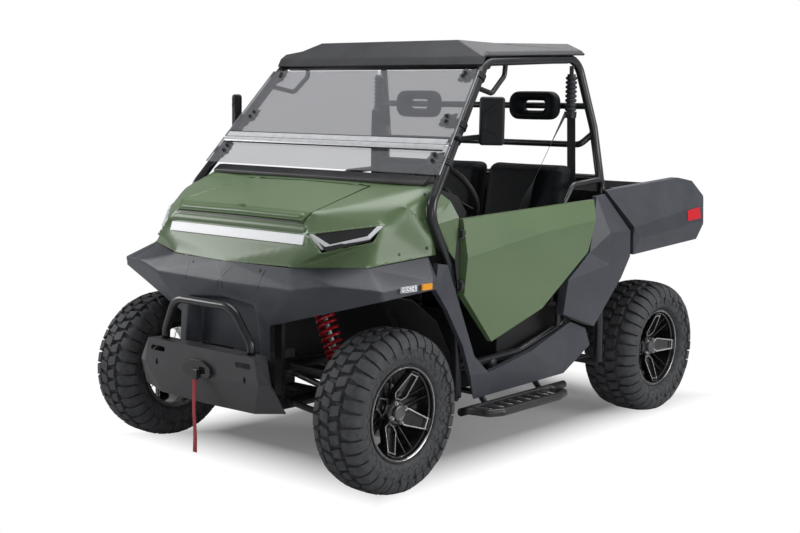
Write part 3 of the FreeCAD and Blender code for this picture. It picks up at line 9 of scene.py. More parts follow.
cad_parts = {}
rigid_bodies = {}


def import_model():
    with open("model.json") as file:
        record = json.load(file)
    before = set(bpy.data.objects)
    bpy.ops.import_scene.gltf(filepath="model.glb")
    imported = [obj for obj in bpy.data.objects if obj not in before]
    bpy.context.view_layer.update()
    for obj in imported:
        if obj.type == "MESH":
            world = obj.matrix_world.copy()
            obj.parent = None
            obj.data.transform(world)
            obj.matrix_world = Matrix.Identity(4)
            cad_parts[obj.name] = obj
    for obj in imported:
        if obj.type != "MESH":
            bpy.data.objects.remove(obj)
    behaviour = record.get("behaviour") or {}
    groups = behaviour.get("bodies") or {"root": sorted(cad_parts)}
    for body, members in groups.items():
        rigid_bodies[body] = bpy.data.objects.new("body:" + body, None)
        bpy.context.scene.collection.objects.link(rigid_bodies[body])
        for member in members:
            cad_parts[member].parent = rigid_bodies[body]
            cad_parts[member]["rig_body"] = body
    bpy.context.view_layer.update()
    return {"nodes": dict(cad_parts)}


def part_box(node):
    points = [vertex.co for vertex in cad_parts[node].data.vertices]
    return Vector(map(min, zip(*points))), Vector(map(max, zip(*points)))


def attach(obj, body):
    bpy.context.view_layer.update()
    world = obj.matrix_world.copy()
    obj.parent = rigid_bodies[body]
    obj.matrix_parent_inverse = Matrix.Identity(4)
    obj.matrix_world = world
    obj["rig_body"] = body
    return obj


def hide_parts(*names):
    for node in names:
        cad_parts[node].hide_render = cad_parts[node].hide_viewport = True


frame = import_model()
nodes = frame["nodes"]

# The studio: a pale seamless floor that keeps the vehicle's soft shadow, with that
# shadow's reach painted: lit grey inside an oblong round the vehicle, pure white outside
# it. A white surround that glass and paint can mirror, three broad lamps, and the camera
# where the photographer stood, low and off the left front corner.


class Wire:
    """One socket of a material's nodes. Sums on wires add Math nodes."""

    def __init__(self, tree, socket):
        self.tree = tree
        self.socket = socket

    def node(self, kind, settings, inputs, output=0):
        """Add a node: its settings first, then its sockets' values or wires."""
        made = self.tree.nodes.new(kind)
        for name, value in settings.items():
            if name == "stops":
                for place, _ in value[2:]:
                    made.color_ramp.elements.new(place)
                for stop, (place, colour) in zip(made.color_ramp.elements, value):
                    stop.position = place
                    stop.color = colour
            else:
                setattr(made, name, value)
        for name, value in inputs.items():
            if isinstance(value, Wire):
                self.tree.links.new(value.socket, made.inputs[name])
            else:
                made.inputs[name].default_value = value
        return Wire(self.tree, made.outputs[output])

    def maths(self, operation, a, b=0.0):
        return self.node("ShaderNodeMath", {"operation": operation}, {0: a, 1: b})

    def __add__(self, other):
        return self.maths("ADD", self, other)

    __radd__ = __add__

    def __sub__(self, other):
        return self.maths("SUBTRACT", self, other)

    def __rsub__(self, other):
        return self.maths("SUBTRACT", other, self)

    def __mul__(self, other):
        return self.maths("MULTIPLY", self, other)

    __rmul__ = __mul__

    def between(self, low, high):
        """0 below low, 1 above high, and a straight rise between them."""
        return self.node("ShaderNodeMapRange", {}, {"Value": self, "From Min": low, "From Max": high})

    def tint(self, low, high):
        """One colour where this is 0, another where it is 1."""
        return self.node("ShaderNodeMix", {"data_type": "RGBA"}, {0: self, 6: low, 7: high}, 2)

    def noise(self, scale, detail=4.0, roughness=0.55, stretch=(1, 1, 1)):
        """Cloudy noise over a place, so many patches to the metre."""
        wide = self.node("ShaderNodeVectorMath", {"operation": "MULTIPLY"}, {0: self, 1: stretch})
        sockets = {"Vector": wide, "Scale": scale, "Detail": detail, "Roughness": roughness}
        return self.node("ShaderNodeTexNoise", {}, sockets)

    def cells(self, scale, output=0, **settings):
        """Voronoi cells over a place."""
        return self.node("ShaderNodeTexVoronoi", settings, {"Vector": self, "Scale": scale}, output)

    def axis(self, name):
        """One coordinate of a place."""
        return self.node("ShaderNodeSeparateXYZ", {}, {0: self}, "XYZ".index(name))

    def into(self, shader, socket):
        self.tree.links.new(self.socket, shader.inputs[socket])

    def bump(self, shader, depth, strength=1.0):
        """Raise the surface by this height, in metres."""
        sockets = {"Height": self, "Distance": depth, "Strength": strength}
        self.node("ShaderNodeBump", {}, sockets).into(shader, "Normal")


def finish_of(name, **sockets):
    """A material with one principled shader, and the wire of its place on the piece."""
    material = bpy.data.materials.new(name)
    material.use_nodes = True
    tree = material.node_tree
    shader = tree.nodes["Principled BSDF"]
    for socket, value in sockets.items():
        shader.inputs[socket.replace("_", " ")].default_value = value
    place = Wire(tree, tree.nodes.new("ShaderNodeTexCoord").outputs["Object"])
    return material, shader, place


def emission_of(wire, colour, strength):
    return wire.node("ShaderNodeEmission", {}, {"Color": colour, "Strength": strength})


floor_half = 30.0
floor_mesh = bpy.data.meshes.new("studio_floor")
floor_corners = [(-floor_half, -floor_half, 0), (floor_half, -floor_half, 0),
                 (floor_half, floor_half, 0), (-floor_half, floor_half, 0)]
floor_mesh.from_pydata(floor_corners, [], [(0, 1, 2, 3)])
studio_floor = bpy.data.objects.new("studio_floor", floor_mesh)
bpy.context.scene.collection.objects.link(studio_floor)
floor_paint, floor_shader, floor_place = finish_of("pale_floor", Roughness=0.9, Specular_IOR_Level=0.0)
floor_shader.inputs["Base Color"].default_value = (0.56, 0.56, 0.565, 1)
floor_glow = 0.13
floor_output = floor_paint.node_tree.nodes["Material Output"]
seen = floor_place.node("ShaderNodeLightPath", {}, {})
glow = emission_of(floor_place, (1, 1, 1, 1), seen * floor_glow)
painted = Wire(floor_paint.node_tree, floor_shader.outputs[0])
both = floor_place.node("ShaderNodeAddShader", {}, {0: painted, 1: glow})
# Painted shadow: camera rays see the floor pure white outside an oblong round the vehicle and lit grey inside it, so
# the oblong's soft edges set where the shadow ends.
painted_shadow_side_fade = floor_place.axis("X").maths("ABSOLUTE", floor_place.axis("X")).between(0.50, 0.80)
behind = floor_place.axis("Y") - 0.2
painted_shadow_end_fade = behind.maths("ABSOLUTE", behind).between(1.00, 1.38)
outside_painted_shadow = painted_shadow_side_fade.maths("MAXIMUM", painted_shadow_side_fade, painted_shadow_end_fade) * seen
white = emission_of(floor_place, (1, 1, 1, 1), 1.0)
floor_place.node("ShaderNodeMixShader", {}, {0: outside_painted_shadow, 1: both, 2: white}).into(floor_output, "Surface")
floor_mesh.materials.append(floor_paint)

world = bpy.data.worlds.new("studio")
bpy.context.scene.world = world
world.use_nodes = True
sky = world.node_tree
sky_output = sky.nodes["World Output"]
ray = Wire(sky, sky.nodes.new("ShaderNodeLightPath").outputs["Is Camera Ray"])
mirrored_ray = ray.node("ShaderNodeLightPath", {}, {}, "Is Glossy Ray")
through_ray = ray.node("ShaderNodeLightPath", {}, {}, "Is Transmission Ray")
shown = ray.maths("MAXIMUM", ray, through_ray)
light_sky = ray.node("ShaderNodeBackground", {}, {"Color": (1, 1, 1, 1), "Strength": 0.26})
white_sky = ray.node("ShaderNodeBackground", {}, {"Color": (1, 1, 1, 1), "Strength": 1.0})
soft_sky = ray.node("ShaderNodeBackground", {}, {"Color": (1, 1, 1, 1), "Strength": 0.30})
lit = ray.node("ShaderNodeMixShader", {}, {0: mirrored_ray, 1: light_sky, 2: soft_sky})
ray.node("ShaderNodeMixShader", {}, {0: shown, 1: lit, 2: white_sky}).into(sky_output, "Surface")


def softbox(name, place, aim, size, power):
    """A broad area lamp, turned to what it lights."""
    lamp = bpy.data.lights.new(name, "AREA")
    lamp.shape = "RECTANGLE"
    lamp.size, lamp.size_y = size
    lamp.energy = power
    holder = bpy.data.objects.new(name, lamp)
    holder.location = place
    holder.rotation_mode = "QUATERNION"
    holder.rotation_quaternion = (Vector(aim) - Vector(place)).to_track_quat("-Z", "Y")
    bpy.context.scene.collection.objects.link(holder)


softbox("overhead", (0.2, 1.1, 4.6), (0, 0.2, 0.8), (4.0, 5.0), 215)
softbox("nose_side", (-4.4, -3.4, 2.6), (0, -0.8, 0.8), (2.6, 2.0), 120)
softbox("left_side", (5.6, 1.6, 2.4), (0.6, 0.2, 0.8), (3.4, 2.0), 122)
softbox("left_strip", (4.6, -3.2, 0.9), (0.7, -0.6, 0.6), (0.7, 1.9), 24)

focal_pixels = 1309.9
photo_width = 800.0
photo_height = 533.0
optical_centre = (391.27, 265.22)
yaw, pitch, roll = (math.radians(angle) for angle in (41.208, 7.0626, 0.8143))
looking = Vector((-math.sin(yaw) * math.cos(pitch), math.cos(yaw) * math.cos(pitch), -math.sin(pitch)))
level = looking.cross(Vector((0, 0, 1))).normalized()
upright = level.cross(looking)
right = level * math.cos(roll) + upright * math.sin(roll)
above = upright * math.cos(roll) - level * math.sin(roll)
camera_data = bpy.data.cameras.new("photo_camera")
camera_data.sensor_width = 36.0
camera_data.lens = focal_pixels * camera_data.sensor_width / photo_width
camera_data.shift_x = (photo_width / 2 - optical_centre[0]) / photo_width
camera_data.shift_y = (optical_centre[1] - photo_height / 2) / photo_width
camera = bpy.data.objects.new("photo_camera", camera_data)
turn = Matrix((right, above, -looking)).transposed().to_4x4()
camera.matrix_world = Matrix.Translation((4.0171, -4.7864, 1.5320)) @ turn
bpy.context.scene.collection.objects.link(camera)
bpy.context.scene.camera = camera
bpy.context.scene.view_settings.view_transform = "Standard"

# The winch strap: a short red polyester webbing sewn to the hook as a pull tab. It hangs
# free, turns a little on its way down and ends bare.


def piece_of(name, mesh, body, material, replaced=()):
    """Link a finished bmesh as one piece that rides on a body."""
    data = bpy.data.meshes.new(name)
    bmesh.ops.recalc_face_normals(mesh, faces=mesh.faces)
    mesh.to_mesh(data)
    mesh.free()
    data.materials.append(material)
    made = bpy.data.objects.new(name, data)
    bpy.context.scene.collection.objects.link(made)
    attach(made, body)
    if replaced:
        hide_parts(*replaced)
    return made


def skirt(mesh, a, b):
    """Faces between two closed rings of points."""
    for k in range(len(a)):
        n = (k + 1) % len(a)
        mesh.faces.new((a[k], a[n], b[n], b[k]))


def smooth(piece, angle=32.0):
    """Round shading, with the edges above an angle kept crisp."""
    piece.data.shade_smooth()
    piece.data.set_sharp_from_angle(angle=math.radians(angle))


def bevelled(piece, name, width, segments, angle):
    """Bevel the edges that are sharper than an angle."""
    bevel = piece.modifiers.new(name, "BEVEL")
    bevel.width = width
    bevel.segments = segments
    bevel.limit_method = "ANGLE"
    bevel.angle_limit = math.radians(angle)


def rounded(piece, width, angle=30.0, segments=2):
    """Break a piece's edges as its moulding or its tool does."""
    bevelled(piece, "edges", width, segments, angle)
    piece.data.shade_smooth()
    shading = piece.modifiers.new("shading", "WEIGHTED_NORMAL")
    shading.weight = 80
    shading.keep_sharp = True


def webbing(name, colour, dark):
    """Woven polyester: a twill of fine ribs, with the fuzz of cut fibres."""
    material, shader, place = finish_of(name, Specular_IOR_Level=0.3, Sheen_Weight=0.35)
    ribs = place.node("ShaderNodeTexWave", {"bands_direction": "DIAGONAL"},
                      {"Vector": place, "Scale": 330.0, "Distortion": 0.6, "Detail": 1.0})
    fuzz = place.noise(900.0)
    (fuzz * 0.4 + ribs * 0.6).between(0.2, 0.8).tint(dark, colour).into(shader, "Base Color")
    (0.72 + fuzz * 0.2).into(shader, "Roughness")
    (ribs + fuzz * 0.5).bump(shader, 0.0004, 0.6)
    return material


strap_red = webbing("red_webbing", (0.52, 0.006, 0.022, 1), (0.26, 0.002, 0.01, 1))
strap_route = [(0.0, -1.396, 0.4115), (0.0, -1.3965, 0.385), (-0.002, -1.3972, 0.340), (-0.004, -1.397, 0.290),
               (-0.001, -1.3962, 0.235), (0.003, -1.3965, 0.180), (0.002, -1.397, 0.135), (0.0, -1.396, 0.1105)]
strap_width = 0.025
strap_half_depth = 0.0014


def route_points(route, steps):
    """Points read along a route's NURBS curve, close enough together to bend smoothly."""
    curve = bpy.data.curves.new("route", "CURVE")
    curve.dimensions = "3D"
    spline = curve.splines.new("NURBS")
    spline.points.add(len(route) - 1)
    for point, place in zip(spline.points, route):
        point.co = (*place, 1.0)
    spline.order_u = 3
    spline.use_endpoint_u = True
    spline.resolution_u = steps
    holder = bpy.data.objects.new("route", curve)
    bpy.context.scene.collection.objects.link(holder)
    read = bpy.data.meshes.new_from_object(holder)
    places = [vertex.co.copy() for vertex in read.vertices]
    bpy.data.objects.remove(holder)
    bpy.data.meshes.remove(read)
    return places


def flat_strap(places, half_width, half_depth, twist):
    """A strap's mesh: an oblong section carried along, turned a little as it hangs."""
    mesh = bmesh.new()
    rings = []
    for i, place in enumerate(places):
        ahead = places[min(i + 1, len(places) - 1)]
        behind = places[max(i - 1, 0)]
        along = (ahead - behind).normalized()
        share = i / (len(places) - 1)
        swing = math.sin(share * math.pi) * twist
        across = Matrix.Rotation(swing, 3, along) @ Vector((1, 0, 0))
        through = along.cross(across).normalized()
        section = []
        for u, v in ((-1, -0.55), (-0.86, -1), (0, -1), (0.86, -1), (1, -0.55),
                     (1, 0.55), (0.86, 1), (0, 1), (-0.86, 1), (-1, 0.55)):
            section.append(mesh.verts.new(place + across * (u * half_width) + through * (v * half_depth)))
        rings.append(section)
    for a, b in zip(rings, rings[1:]):
        skirt(mesh, a, b)
    mesh.faces.new(rings[0])
    mesh.faces.new(rings[-1][::-1])
    return mesh


strap_line = route_points(strap_route, 6)
hook_strap = piece_of("winch_strap", flat_strap(strap_line, strap_width / 2, strap_half_depth, 0.16),
                      "chassis", strap_red, ["hook_strap"])
smooth(hook_strap)

# The winch's closed hook: forged steel, zinc plated, hung through the fairlead's slot.
# The fairlead is a cast plate with a machined slot, held by two screws.


def plated(name, colour, rough, streak=0.12):
    """Bare or plated metal: faint brushing, with duller patches."""
    material, shader, place = finish_of(name, Metallic=1.0)
    brushed = place.noise(420.0, 3.0, 0.6, (1, 1, 8))
    cloudy = place.noise(26.0, 5.0)
    dull = tuple(part * 0.72 for part in colour)
    cloudy.between(0.3, 0.7).tint((*dull, 1), (*colour, 1)).into(shader, "Base Color")
    (rough + brushed * streak + cloudy * 0.1).into(shader, "Roughness")
    (brushed + cloudy * 0.3).bump(shader, 0.0001, 0.5)
    return material


zinc = plated("zinc_plate", (0.62, 0.63, 0.64), 0.22)
tube_section = 14


def swept(name, places, radius, body, material, replaced=(), sides=tube_section):
    """A round bar bent through places, as one piece."""
    mesh = bmesh.new()
    rings = []
    count = len(places)
    lift = None
    for i, place in enumerate(places):
        ahead = places[min(i + 1, count - 1)]
        behind = places[max(i - 1, 0)]
        along = (Vector(ahead) - Vector(behind)).normalized()
        if lift is None:
            lift = along.orthogonal().normalized()
        lift = (lift - along * lift.dot(along)).normalized()
        side = along.cross(lift)
        ring = []
        for k in range(sides):
            angle = 2 * math.pi * k / sides
            ring.append(mesh.verts.new(Vector(place) + lift * (math.cos(angle) * radius)
                                       + side * (math.sin(angle) * radius)))
        rings.append(ring)
    for a, b in zip(rings, rings[1:]):
        skirt(mesh, a, b)
    mesh.faces.new(rings[0][::-1])
    mesh.faces.new(rings[-1])
    made = piece_of(name, mesh, body, material, replaced)
    smooth(made, 40)
    return made


hook_line = [(0.0, -1.3935, 0.449), (0.004, -1.3945, 0.452), (0.0095, -1.3945, 0.446), (0.0125, -1.3945, 0.434),
             (0.0095, -1.3945, 0.4205), (0.0, -1.3945, 0.4165), (-0.0095, -1.3945, 0.4205),
             (-0.0125, -1.3945, 0.434), (-0.0095, -1.3945, 0.446), (-0.004, -1.3945, 0.452)]
swept("winch_hook", route_points(hook_line, 4), 0.0038, "chassis", zinc)

# The lower frame: square tubes welded into a ladder, with the portals over the axles, the
# A-arms and the carriers. Powder coated satin black, with road dust in its corners.


def powder_coat(name, colour, edge_colour, rough):
    """Powder coat on steel: orange peel, a little dust, a thin sheen."""
    material, shader, place = finish_of(name, Coat_Weight=0.35, Coat_Roughness=0.18)
    peel = place.noise(520.0, 2.0)
    dust = place.noise(9.0, 6.0, 0.62).between(0.48, 0.85)
    dust.tint(colour, edge_colour).into(shader, "Base Color")
    (rough + peel * 0.1 + dust * 0.16).into(shader, "Roughness")
    (peel + place.noise(90.0) * 0.5).bump(shader, 0.00018, 0.6)
    return material


frame_black = powder_coat("frame_powder_coat", (0.012, 0.0125, 0.014, 1), (0.03, 0.03, 0.032, 1), 0.36)


def dressed(node, material, edge=0.0015, angle=40.0, segments=2):
    """Give a CAD piece its finish, its edges broken as the maker's tool leaves them."""
    piece = nodes[node]
    piece.data.materials.clear()
    piece.data.materials.append(material)
    piece.data.shade_smooth()
    weld = piece.modifiers.new("weld", "WELD")
    weld.merge_threshold = 0.00005
    flat = piece.modifiers.new("flat", "DECIMATE")
    flat.decimate_type = "DISSOLVE"
    flat.angle_limit = math.radians(0.4)
    if edge:
        bevelled(piece, "edges", edge, segments, angle)
    shading = piece.modifiers.new("shading", "WEIGHTED_NORMAL")
    shading.weight = 80
    return piece


for steel_part in ("chassis_frame", "shock_towers", "suspension_arms", "rear_uprights"):
    dressed(steel_part, frame_black, 0.0022)

# The struts: steel coils painted red over oil dampers with plated rods, and the cast
# knuckles, gearbox and motor that the half-shafts run between.
cast_alloy = plated("cast_alloy", (0.16, 0.165, 0.17), 0.5)
bare_steel = plated("machined_steel", (0.42, 0.43, 0.44), 0.28)
spring_paint = powder_coat("spring_paint", (0.42, 0.006, 0.012, 1), (0.3, 0.01, 0.012, 1), 0.22)
for cast_part in ("knuckle_left", "knuckle_right", "drive_units"):
    dressed(cast_part, cast_alloy, 0.004)
for steel_part in ("steering_rack", "half_shafts", "shock_dampers"):
    dressed(steel_part, bare_steel, 0.001)
coil_turns = 8.5
coil_radius = 0.037
wire_radius = 0.0068


def coil_between(name, low, high, replaced=()):
    """A coil spring's wire, wound from one seat to the other."""
    low, high = Vector(low), Vector(high)
    along = (high - low).normalized()
    side = along.orthogonal().normalized()
    other = along.cross(side)
    length = (high - low).length
    steps = 200
    places = []
    for i in range(steps + 1):
        share = i / steps
        eased = share - 0.035 * math.sin(2 * math.pi * share)
        angle = 2 * math.pi * coil_turns * share
        around = side * (math.cos(angle) * coil_radius) + other * (math.sin(angle) * coil_radius)
        places.append(low + along * (wire_radius + eased * (length - 2 * wire_radius)) + around)
    return swept(name, places, wire_radius, "chassis", spring_paint, replaced, sides=8)


def spring_ends(index):
    """The seats of one spring, read from the damper's box in its corner."""
    x_side = 1 if index % 2 == 0 else -1
    axle = (-0.994, 0.989)[index // 2]
    reach = (0.600, 0.578)[index // 2]
    pivot = 0.281
    share = (0.430 - pivot) / (reach - pivot)
    low = Vector((x_side * 0.430, axle, 0.470 + (0.435 - 0.470) * share))
    high = Vector((x_side * 0.307, axle, 0.742))
    along = (high - low).normalized()
    return low + along * 0.047, high - along * 0.050


for corner in range(4):
    spring_low, spring_high = spring_ends(corner)
    hidden = ["shock_springs"] if corner == 0 else []
    coil_between(f"coil_spring_{corner}", spring_low, spring_high, hidden)

# The tyres: all-terrain rubber with a carcass that bulges past the rim, two rows of centre
# blocks, and long shoulder blocks that wrap down the sidewall above a raised zigzag line.
rubber, rubber_shader, rubber_place = finish_of("tyre_rubber", Specular_IOR_Level=0.35)
scuff = rubber_place.noise(38.0, 6.0, 0.65)
speckle = rubber_place.noise(700.0, 3.0)
dusty = (scuff * 0.7 + speckle * 0.3).between(0.35, 0.75)
dusty.tint((0.040, 0.0412, 0.045, 1), (0.108, 0.111, 0.118, 1)).into(rubber_shader, "Base Color")
(0.52 + scuff * 0.24).into(rubber_shader, "Roughness")
(speckle + scuff * 0.6).bump(rubber_shader, 0.00035, 0.7)

tyre_radius = 0.330
rim_seat_radius = 0.1935
tyre_sizes = {
    "fl": (1, 0.679, -0.994, 0.229, 0.178), "fr": (-1, 0.679, -0.994, 0.229, 0.178),
    "rl": (1, 0.640, 0.989, 0.279, 0.203), "rr": (-1, 0.640, 0.989, 0.279, 0.203),
}
lug_pitches = 18
ring_steps = 136


def carcass_line(width, rim_width):
    """The carcass from its crown to its bead, as (across, radius) points."""
    half = width / 2
    bead = rim_width / 2
    return [
        (0.0, tyre_radius - 0.0165), (half * 0.3, tyre_radius - 0.017), (half * 0.55, tyre_radius - 0.0195),
        (half * 0.76, tyre_radius - 0.0265), (half * 0.885, tyre_radius - 0.041),
        (half * 0.945, tyre_radius - 0.060), (half * 0.965, tyre_radius - 0.082),
        (half * 0.945, tyre_radius - 0.104), (half * 0.90, tyre_radius - 0.122),
        (bead + 0.006, rim_seat_radius + 0.0055), (bead - 0.001, rim_seat_radius + 0.0025),
        (bead - 0.0015, rim_seat_radius - 0.012),
    ]


def along_line(line, distance):
    """The place and outward normal at one distance along the carcass line."""
    left = abs(distance)
    for (ax, ar), (bx, br) in zip(line, line[1:]):
        run = math.hypot(bx - ax, br - ar)
        if left <= run:
            share = left / run
            normal = Vector((ar - br, bx - ax)).normalized()
            x, radius = ax + (bx - ax) * share, ar + (br - ar) * share
            side = 1 if distance >= 0 else -1
            return side * x, radius, side * normal.x, normal.y
        left -= run
    (ax, ar), (bx, br) = line[-2:]
    return bx, br, 1.0, 0.0


def smoothed(line, rounds=2):
    """Cut a line's corners until it is round."""
    for _ in range(rounds):
        new = [line[0]]
        for (ax, ar), (bx, br) in zip(line, line[1:]):
            new.append((ax * 0.75 + bx * 0.25, ar * 0.75 + br * 0.25))
            new.append((ax * 0.25 + bx * 0.75, ar * 0.25 + br * 0.75))
        new.append(line[-1])
        line = new
    return line


def carcass(mesh, line):
    """Turn the line about the axle, with the inner face open at the beads."""
    half = smoothed(line)
    outline = [(-x, r) for x, r in reversed(half[1:])] + half
    rings = []
    for i in range(ring_steps):
        angle = 2 * math.pi * i / ring_steps
        rings.append([mesh.verts.new((x, -math.sin(angle) * r, math.cos(angle) * r)) for x, r in outline])
    for i in range(ring_steps):
        a, b = rings[i], rings[(i + 1) % ring_steps]
        for k in range(len(outline) - 1):
            mesh.faces.new((a[k], a[k + 1], b[k + 1], b[k]))


def lug(mesh, line, stations, height, draft, sense):
    """One moulded block: stations of (distance across, pitch angle, half length round)."""
    base, top = [], []
    for distance, angle, half in stations:
        x, radius, nx, nr = along_line(line, distance)
        for ring, lift, reach in ((base, -0.004, half + draft), (top, height, half)):
            row = []
            for side in (-1, 1):
                r = radius + nr * lift
                a = sense * (angle + side * reach / radius)
                row.append(mesh.verts.new((x + nx * lift, -math.sin(a) * r, math.cos(a) * r)))
            ring.append(row)
    for i in range(len(stations) - 1):
        a, b, c, d = base[i], base[i + 1], top[i], top[i + 1]
        mesh.faces.new((c[0], c[1], d[1], d[0]))
        mesh.faces.new((a[0], c[0], d[0], b[0]))
        mesh.faces.new((a[1], b[1], d[1], c[1]))
    for i in (0, -1):
        mesh.faces.new((base[i][0], base[i][1], top[i][1], top[i][0]))


def zigzag(mesh, line, teeth, inner, outer, rise):
    """The raised moulding line that runs in and out round the sidewall."""
    for side in (-1, 1):
        strip = []
        for i in range(teeth * 4):
            swing = (inner, inner, outer, outer)[i % 4]
            angle = 2 * math.pi * i / (teeth * 4)
            ring = []
            for shift, lift in ((-0.0030, -0.003), (-0.0018, rise), (0.0018, rise), (0.0030, -0.003)):
                x, radius, nx, nr = along_line(line, side * (swing + shift))
                r = radius + nr * lift
                ring.append(mesh.verts.new((x + nx * lift, -math.sin(angle) * r, math.cos(angle) * r)))
            strip.append(ring)
        for i in range(len(strip)):
            a, b = strip[i], strip[(i + 1) % len(strip)]
            for k in range(3):
                mesh.faces.new((a[k], a[k + 1], b[k + 1], b[k]))


def tread(mesh, line, width):
    """All the lugs: staggered centre blocks, long shoulder blocks, and teeth that reach down."""
    pitch = 2 * math.pi / lug_pitches
    reach = width / 2
    rows = [
        ([(0.035, 0.05, 0.018), (0.20, 0.02, 0.0195), (0.40, -0.03, 0.0175)], 0.0160),
        ([(0.045, 0.55, 0.0135), (0.19, 0.53, 0.0165), (0.37, 0.49, 0.0185)], 0.0155),
        ([(0.475, 0.19, 0.0160), (0.60, 0.22, 0.0205), (0.76, 0.25, 0.0215), (0.90, 0.255, 0.0215),
          (1.03, 0.255, 0.0205), (1.15, 0.255, 0.0190)], 0.0135),
        ([(0.52, 0.71, 0.0135), (0.64, 0.735, 0.0165), (0.78, 0.755, 0.0200), (0.92, 0.76, 0.0205),
          (1.08, 0.76, 0.0195), (1.24, 0.76, 0.0175)], 0.0125),
        ([(1.13, 0.255, 0.0165), (1.25, 0.255, 0.0120), (1.34, 0.255, 0.0070)], 0.0045),
        ([(1.22, 0.76, 0.0140), (1.33, 0.76, 0.0100), (1.42, 0.76, 0.0055)], 0.0045),
    ]
    for i in range(lug_pitches):
        for side in (-1, 1):
            start = pitch * (i + (0.25 if side < 0 else 0.0))
            for stations, height in rows:
                block = [(side * reach * across, start + pitch * turn, half) for across, turn, half in stations]
                lug(mesh, line, block, height, 0.003, 1)
    zigzag(mesh, line, lug_pitches * 2, reach * 1.47, reach * 1.60, 0.0022)


for corner, (side, track, axle, width, rim_width) in tyre_sizes.items():
    tyre_mesh = bmesh.new()
    tyre_line = carcass_line(width, rim_width)
    carcass(tyre_mesh, tyre_line)
    tread(tyre_mesh, smoothed(tyre_line), width)
    bmesh.ops.translate(tyre_mesh, verts=tyre_mesh.verts, vec=(side * track, axle, tyre_radius))
    tyre_piece = piece_of("tyre_tread_" + corner, tyre_mesh, "wheel_" + corner, rubber, ["tyre_" + corner])
    rounded(tyre_piece, 0.0016, 35)

# The rims: cast alloy painted gloss black, with four broad spokes whose outlines are
# machined bright, thin ribs between them, a grey centre cap and four plated nuts.


def gloss_paint(name, colour, rough=0.12, coat=1.0):
    """Lacquer over colour: a hint of orange peel and fine scratches."""
    material, shader, place = finish_of(name, Coat_Weight=coat, Coat_Roughness=0.06)
    mist = place.noise(15.0, 5.0)
    peel = place.noise(300.0, 2.0)
    lighter = tuple(part * 1.5 + 0.004 for part in colour)
    mist.between(0.35, 0.8).tint((*colour, 1), (*lighter, 1)).into(shader, "Base Color")
    (rough + mist * 0.12).into(shader, "Roughness")
    peel.bump(shader, 0.00008, 0.35)
    return material


rim_black = gloss_paint("rim_lacquer", (0.008, 0.008, 0.009), 0.2)
machined_edge = plated("machined_edge", (0.72, 0.73, 0.74), 0.16)
cap_grey = plated("cap_grey", (0.2, 0.205, 0.215), 0.3)
barrel_steps = 96


def turned_piece(name, profile, body, material, centre, side, replaced=(), steps=barrel_steps, closed=True):
    """A piece turned about the axle from (across, radius) points, outboard for +across."""
    mesh = bmesh.new()
    rings = []
    for i in range(steps):
        angle = 2 * math.pi * i / steps
        ring = []
        for across, radius in profile:
            place = Vector((side * across, -math.sin(angle) * radius, math.cos(angle) * radius))
            ring.append(mesh.verts.new(Vector(centre) + place))
        rings.append(ring)
    last = len(profile) if closed else len(profile) - 1
    for i in range(steps):
        a, b = rings[i], rings[(i + 1) % steps]
        for k in range(last):
            n = (k + 1) % len(profile)
            mesh.faces.new((a[k], a[n], b[n], b[k]))
    bmesh.ops.remove_doubles(mesh, verts=mesh.verts, dist=1e-6)
    made = piece_of(name, mesh, body, material, replaced)
    smooth(made, 32)
    return made


def plate_on_wheel(mesh, outline, low, high, angle, centre, side, slope=0.0):
    """A flat plate on the wheel's face from (sideways, outwards) points."""
    bottom, top = [], []
    for u, v in outline:
        spin = math.cos(angle), math.sin(angle)
        y = -(v * spin[1]) - u * spin[0]
        z = v * spin[0] - u * spin[1]
        lift = slope * v
        bottom.append(mesh.verts.new(Vector(centre) + Vector((side * (low + lift), y, z))))
        top.append(mesh.verts.new(Vector(centre) + Vector((side * (high + lift), y, z))))
    count = len(outline)
    faces = [mesh.faces.new(top), mesh.faces.new(bottom[::-1])]
    for i in range(count):
        n = (i + 1) % count
        faces.append(mesh.faces.new((bottom[i], bottom[n], top[n], top[i])))
    return faces


def shrunk(outline, gap):
    """The same outline, moved inwards by a gap on every side."""
    count = len(outline)
    lines = []
    area = sum(outline[i][0] * outline[(i + 1) % count][1] - outline[(i + 1) % count][0] * outline[i][1]
               for i in range(count))
    sense = 1 if area > 0 else -1
    for i in range(count):
        (ax, ay), (bx, by) = outline[i], outline[(i + 1) % count]
        run = math.hypot(bx - ax, by - ay)
        nx, ny = -(by - ay) / run * sense, (bx - ax) / run * sense
        lines.append((nx, ny, nx * ax + ny * ay + gap))
    corners = []
    for i in range(count):
        (a, b, c), (d, e, f) = lines[i - 1], lines[i]
        det = a * e - b * d
        corners.append(((c * e - b * f) / det, (a * f - c * d) / det))
    return corners


def frame_on_wheel(mesh, outline, gap, low, high, angle, centre, side, slope):
    """A plate's rim alone: the machined band round a spoke's pocket."""
    inner = shrunk(outline, gap)
    rows = []
    for ring, level in ((outline, low), (outline, high), (inner, high), (inner, low)):
        row = []
        for u, v in ring:
            y = -(v * math.sin(angle)) - u * math.cos(angle)
            z = v * math.cos(angle) - u * math.sin(angle)
            row.append(mesh.verts.new(Vector(centre) + Vector((side * (level + slope * v), y, z))))
        rows.append(row)
    for a, b in zip(rows, rows[1:]):
        skirt(mesh, a, b)


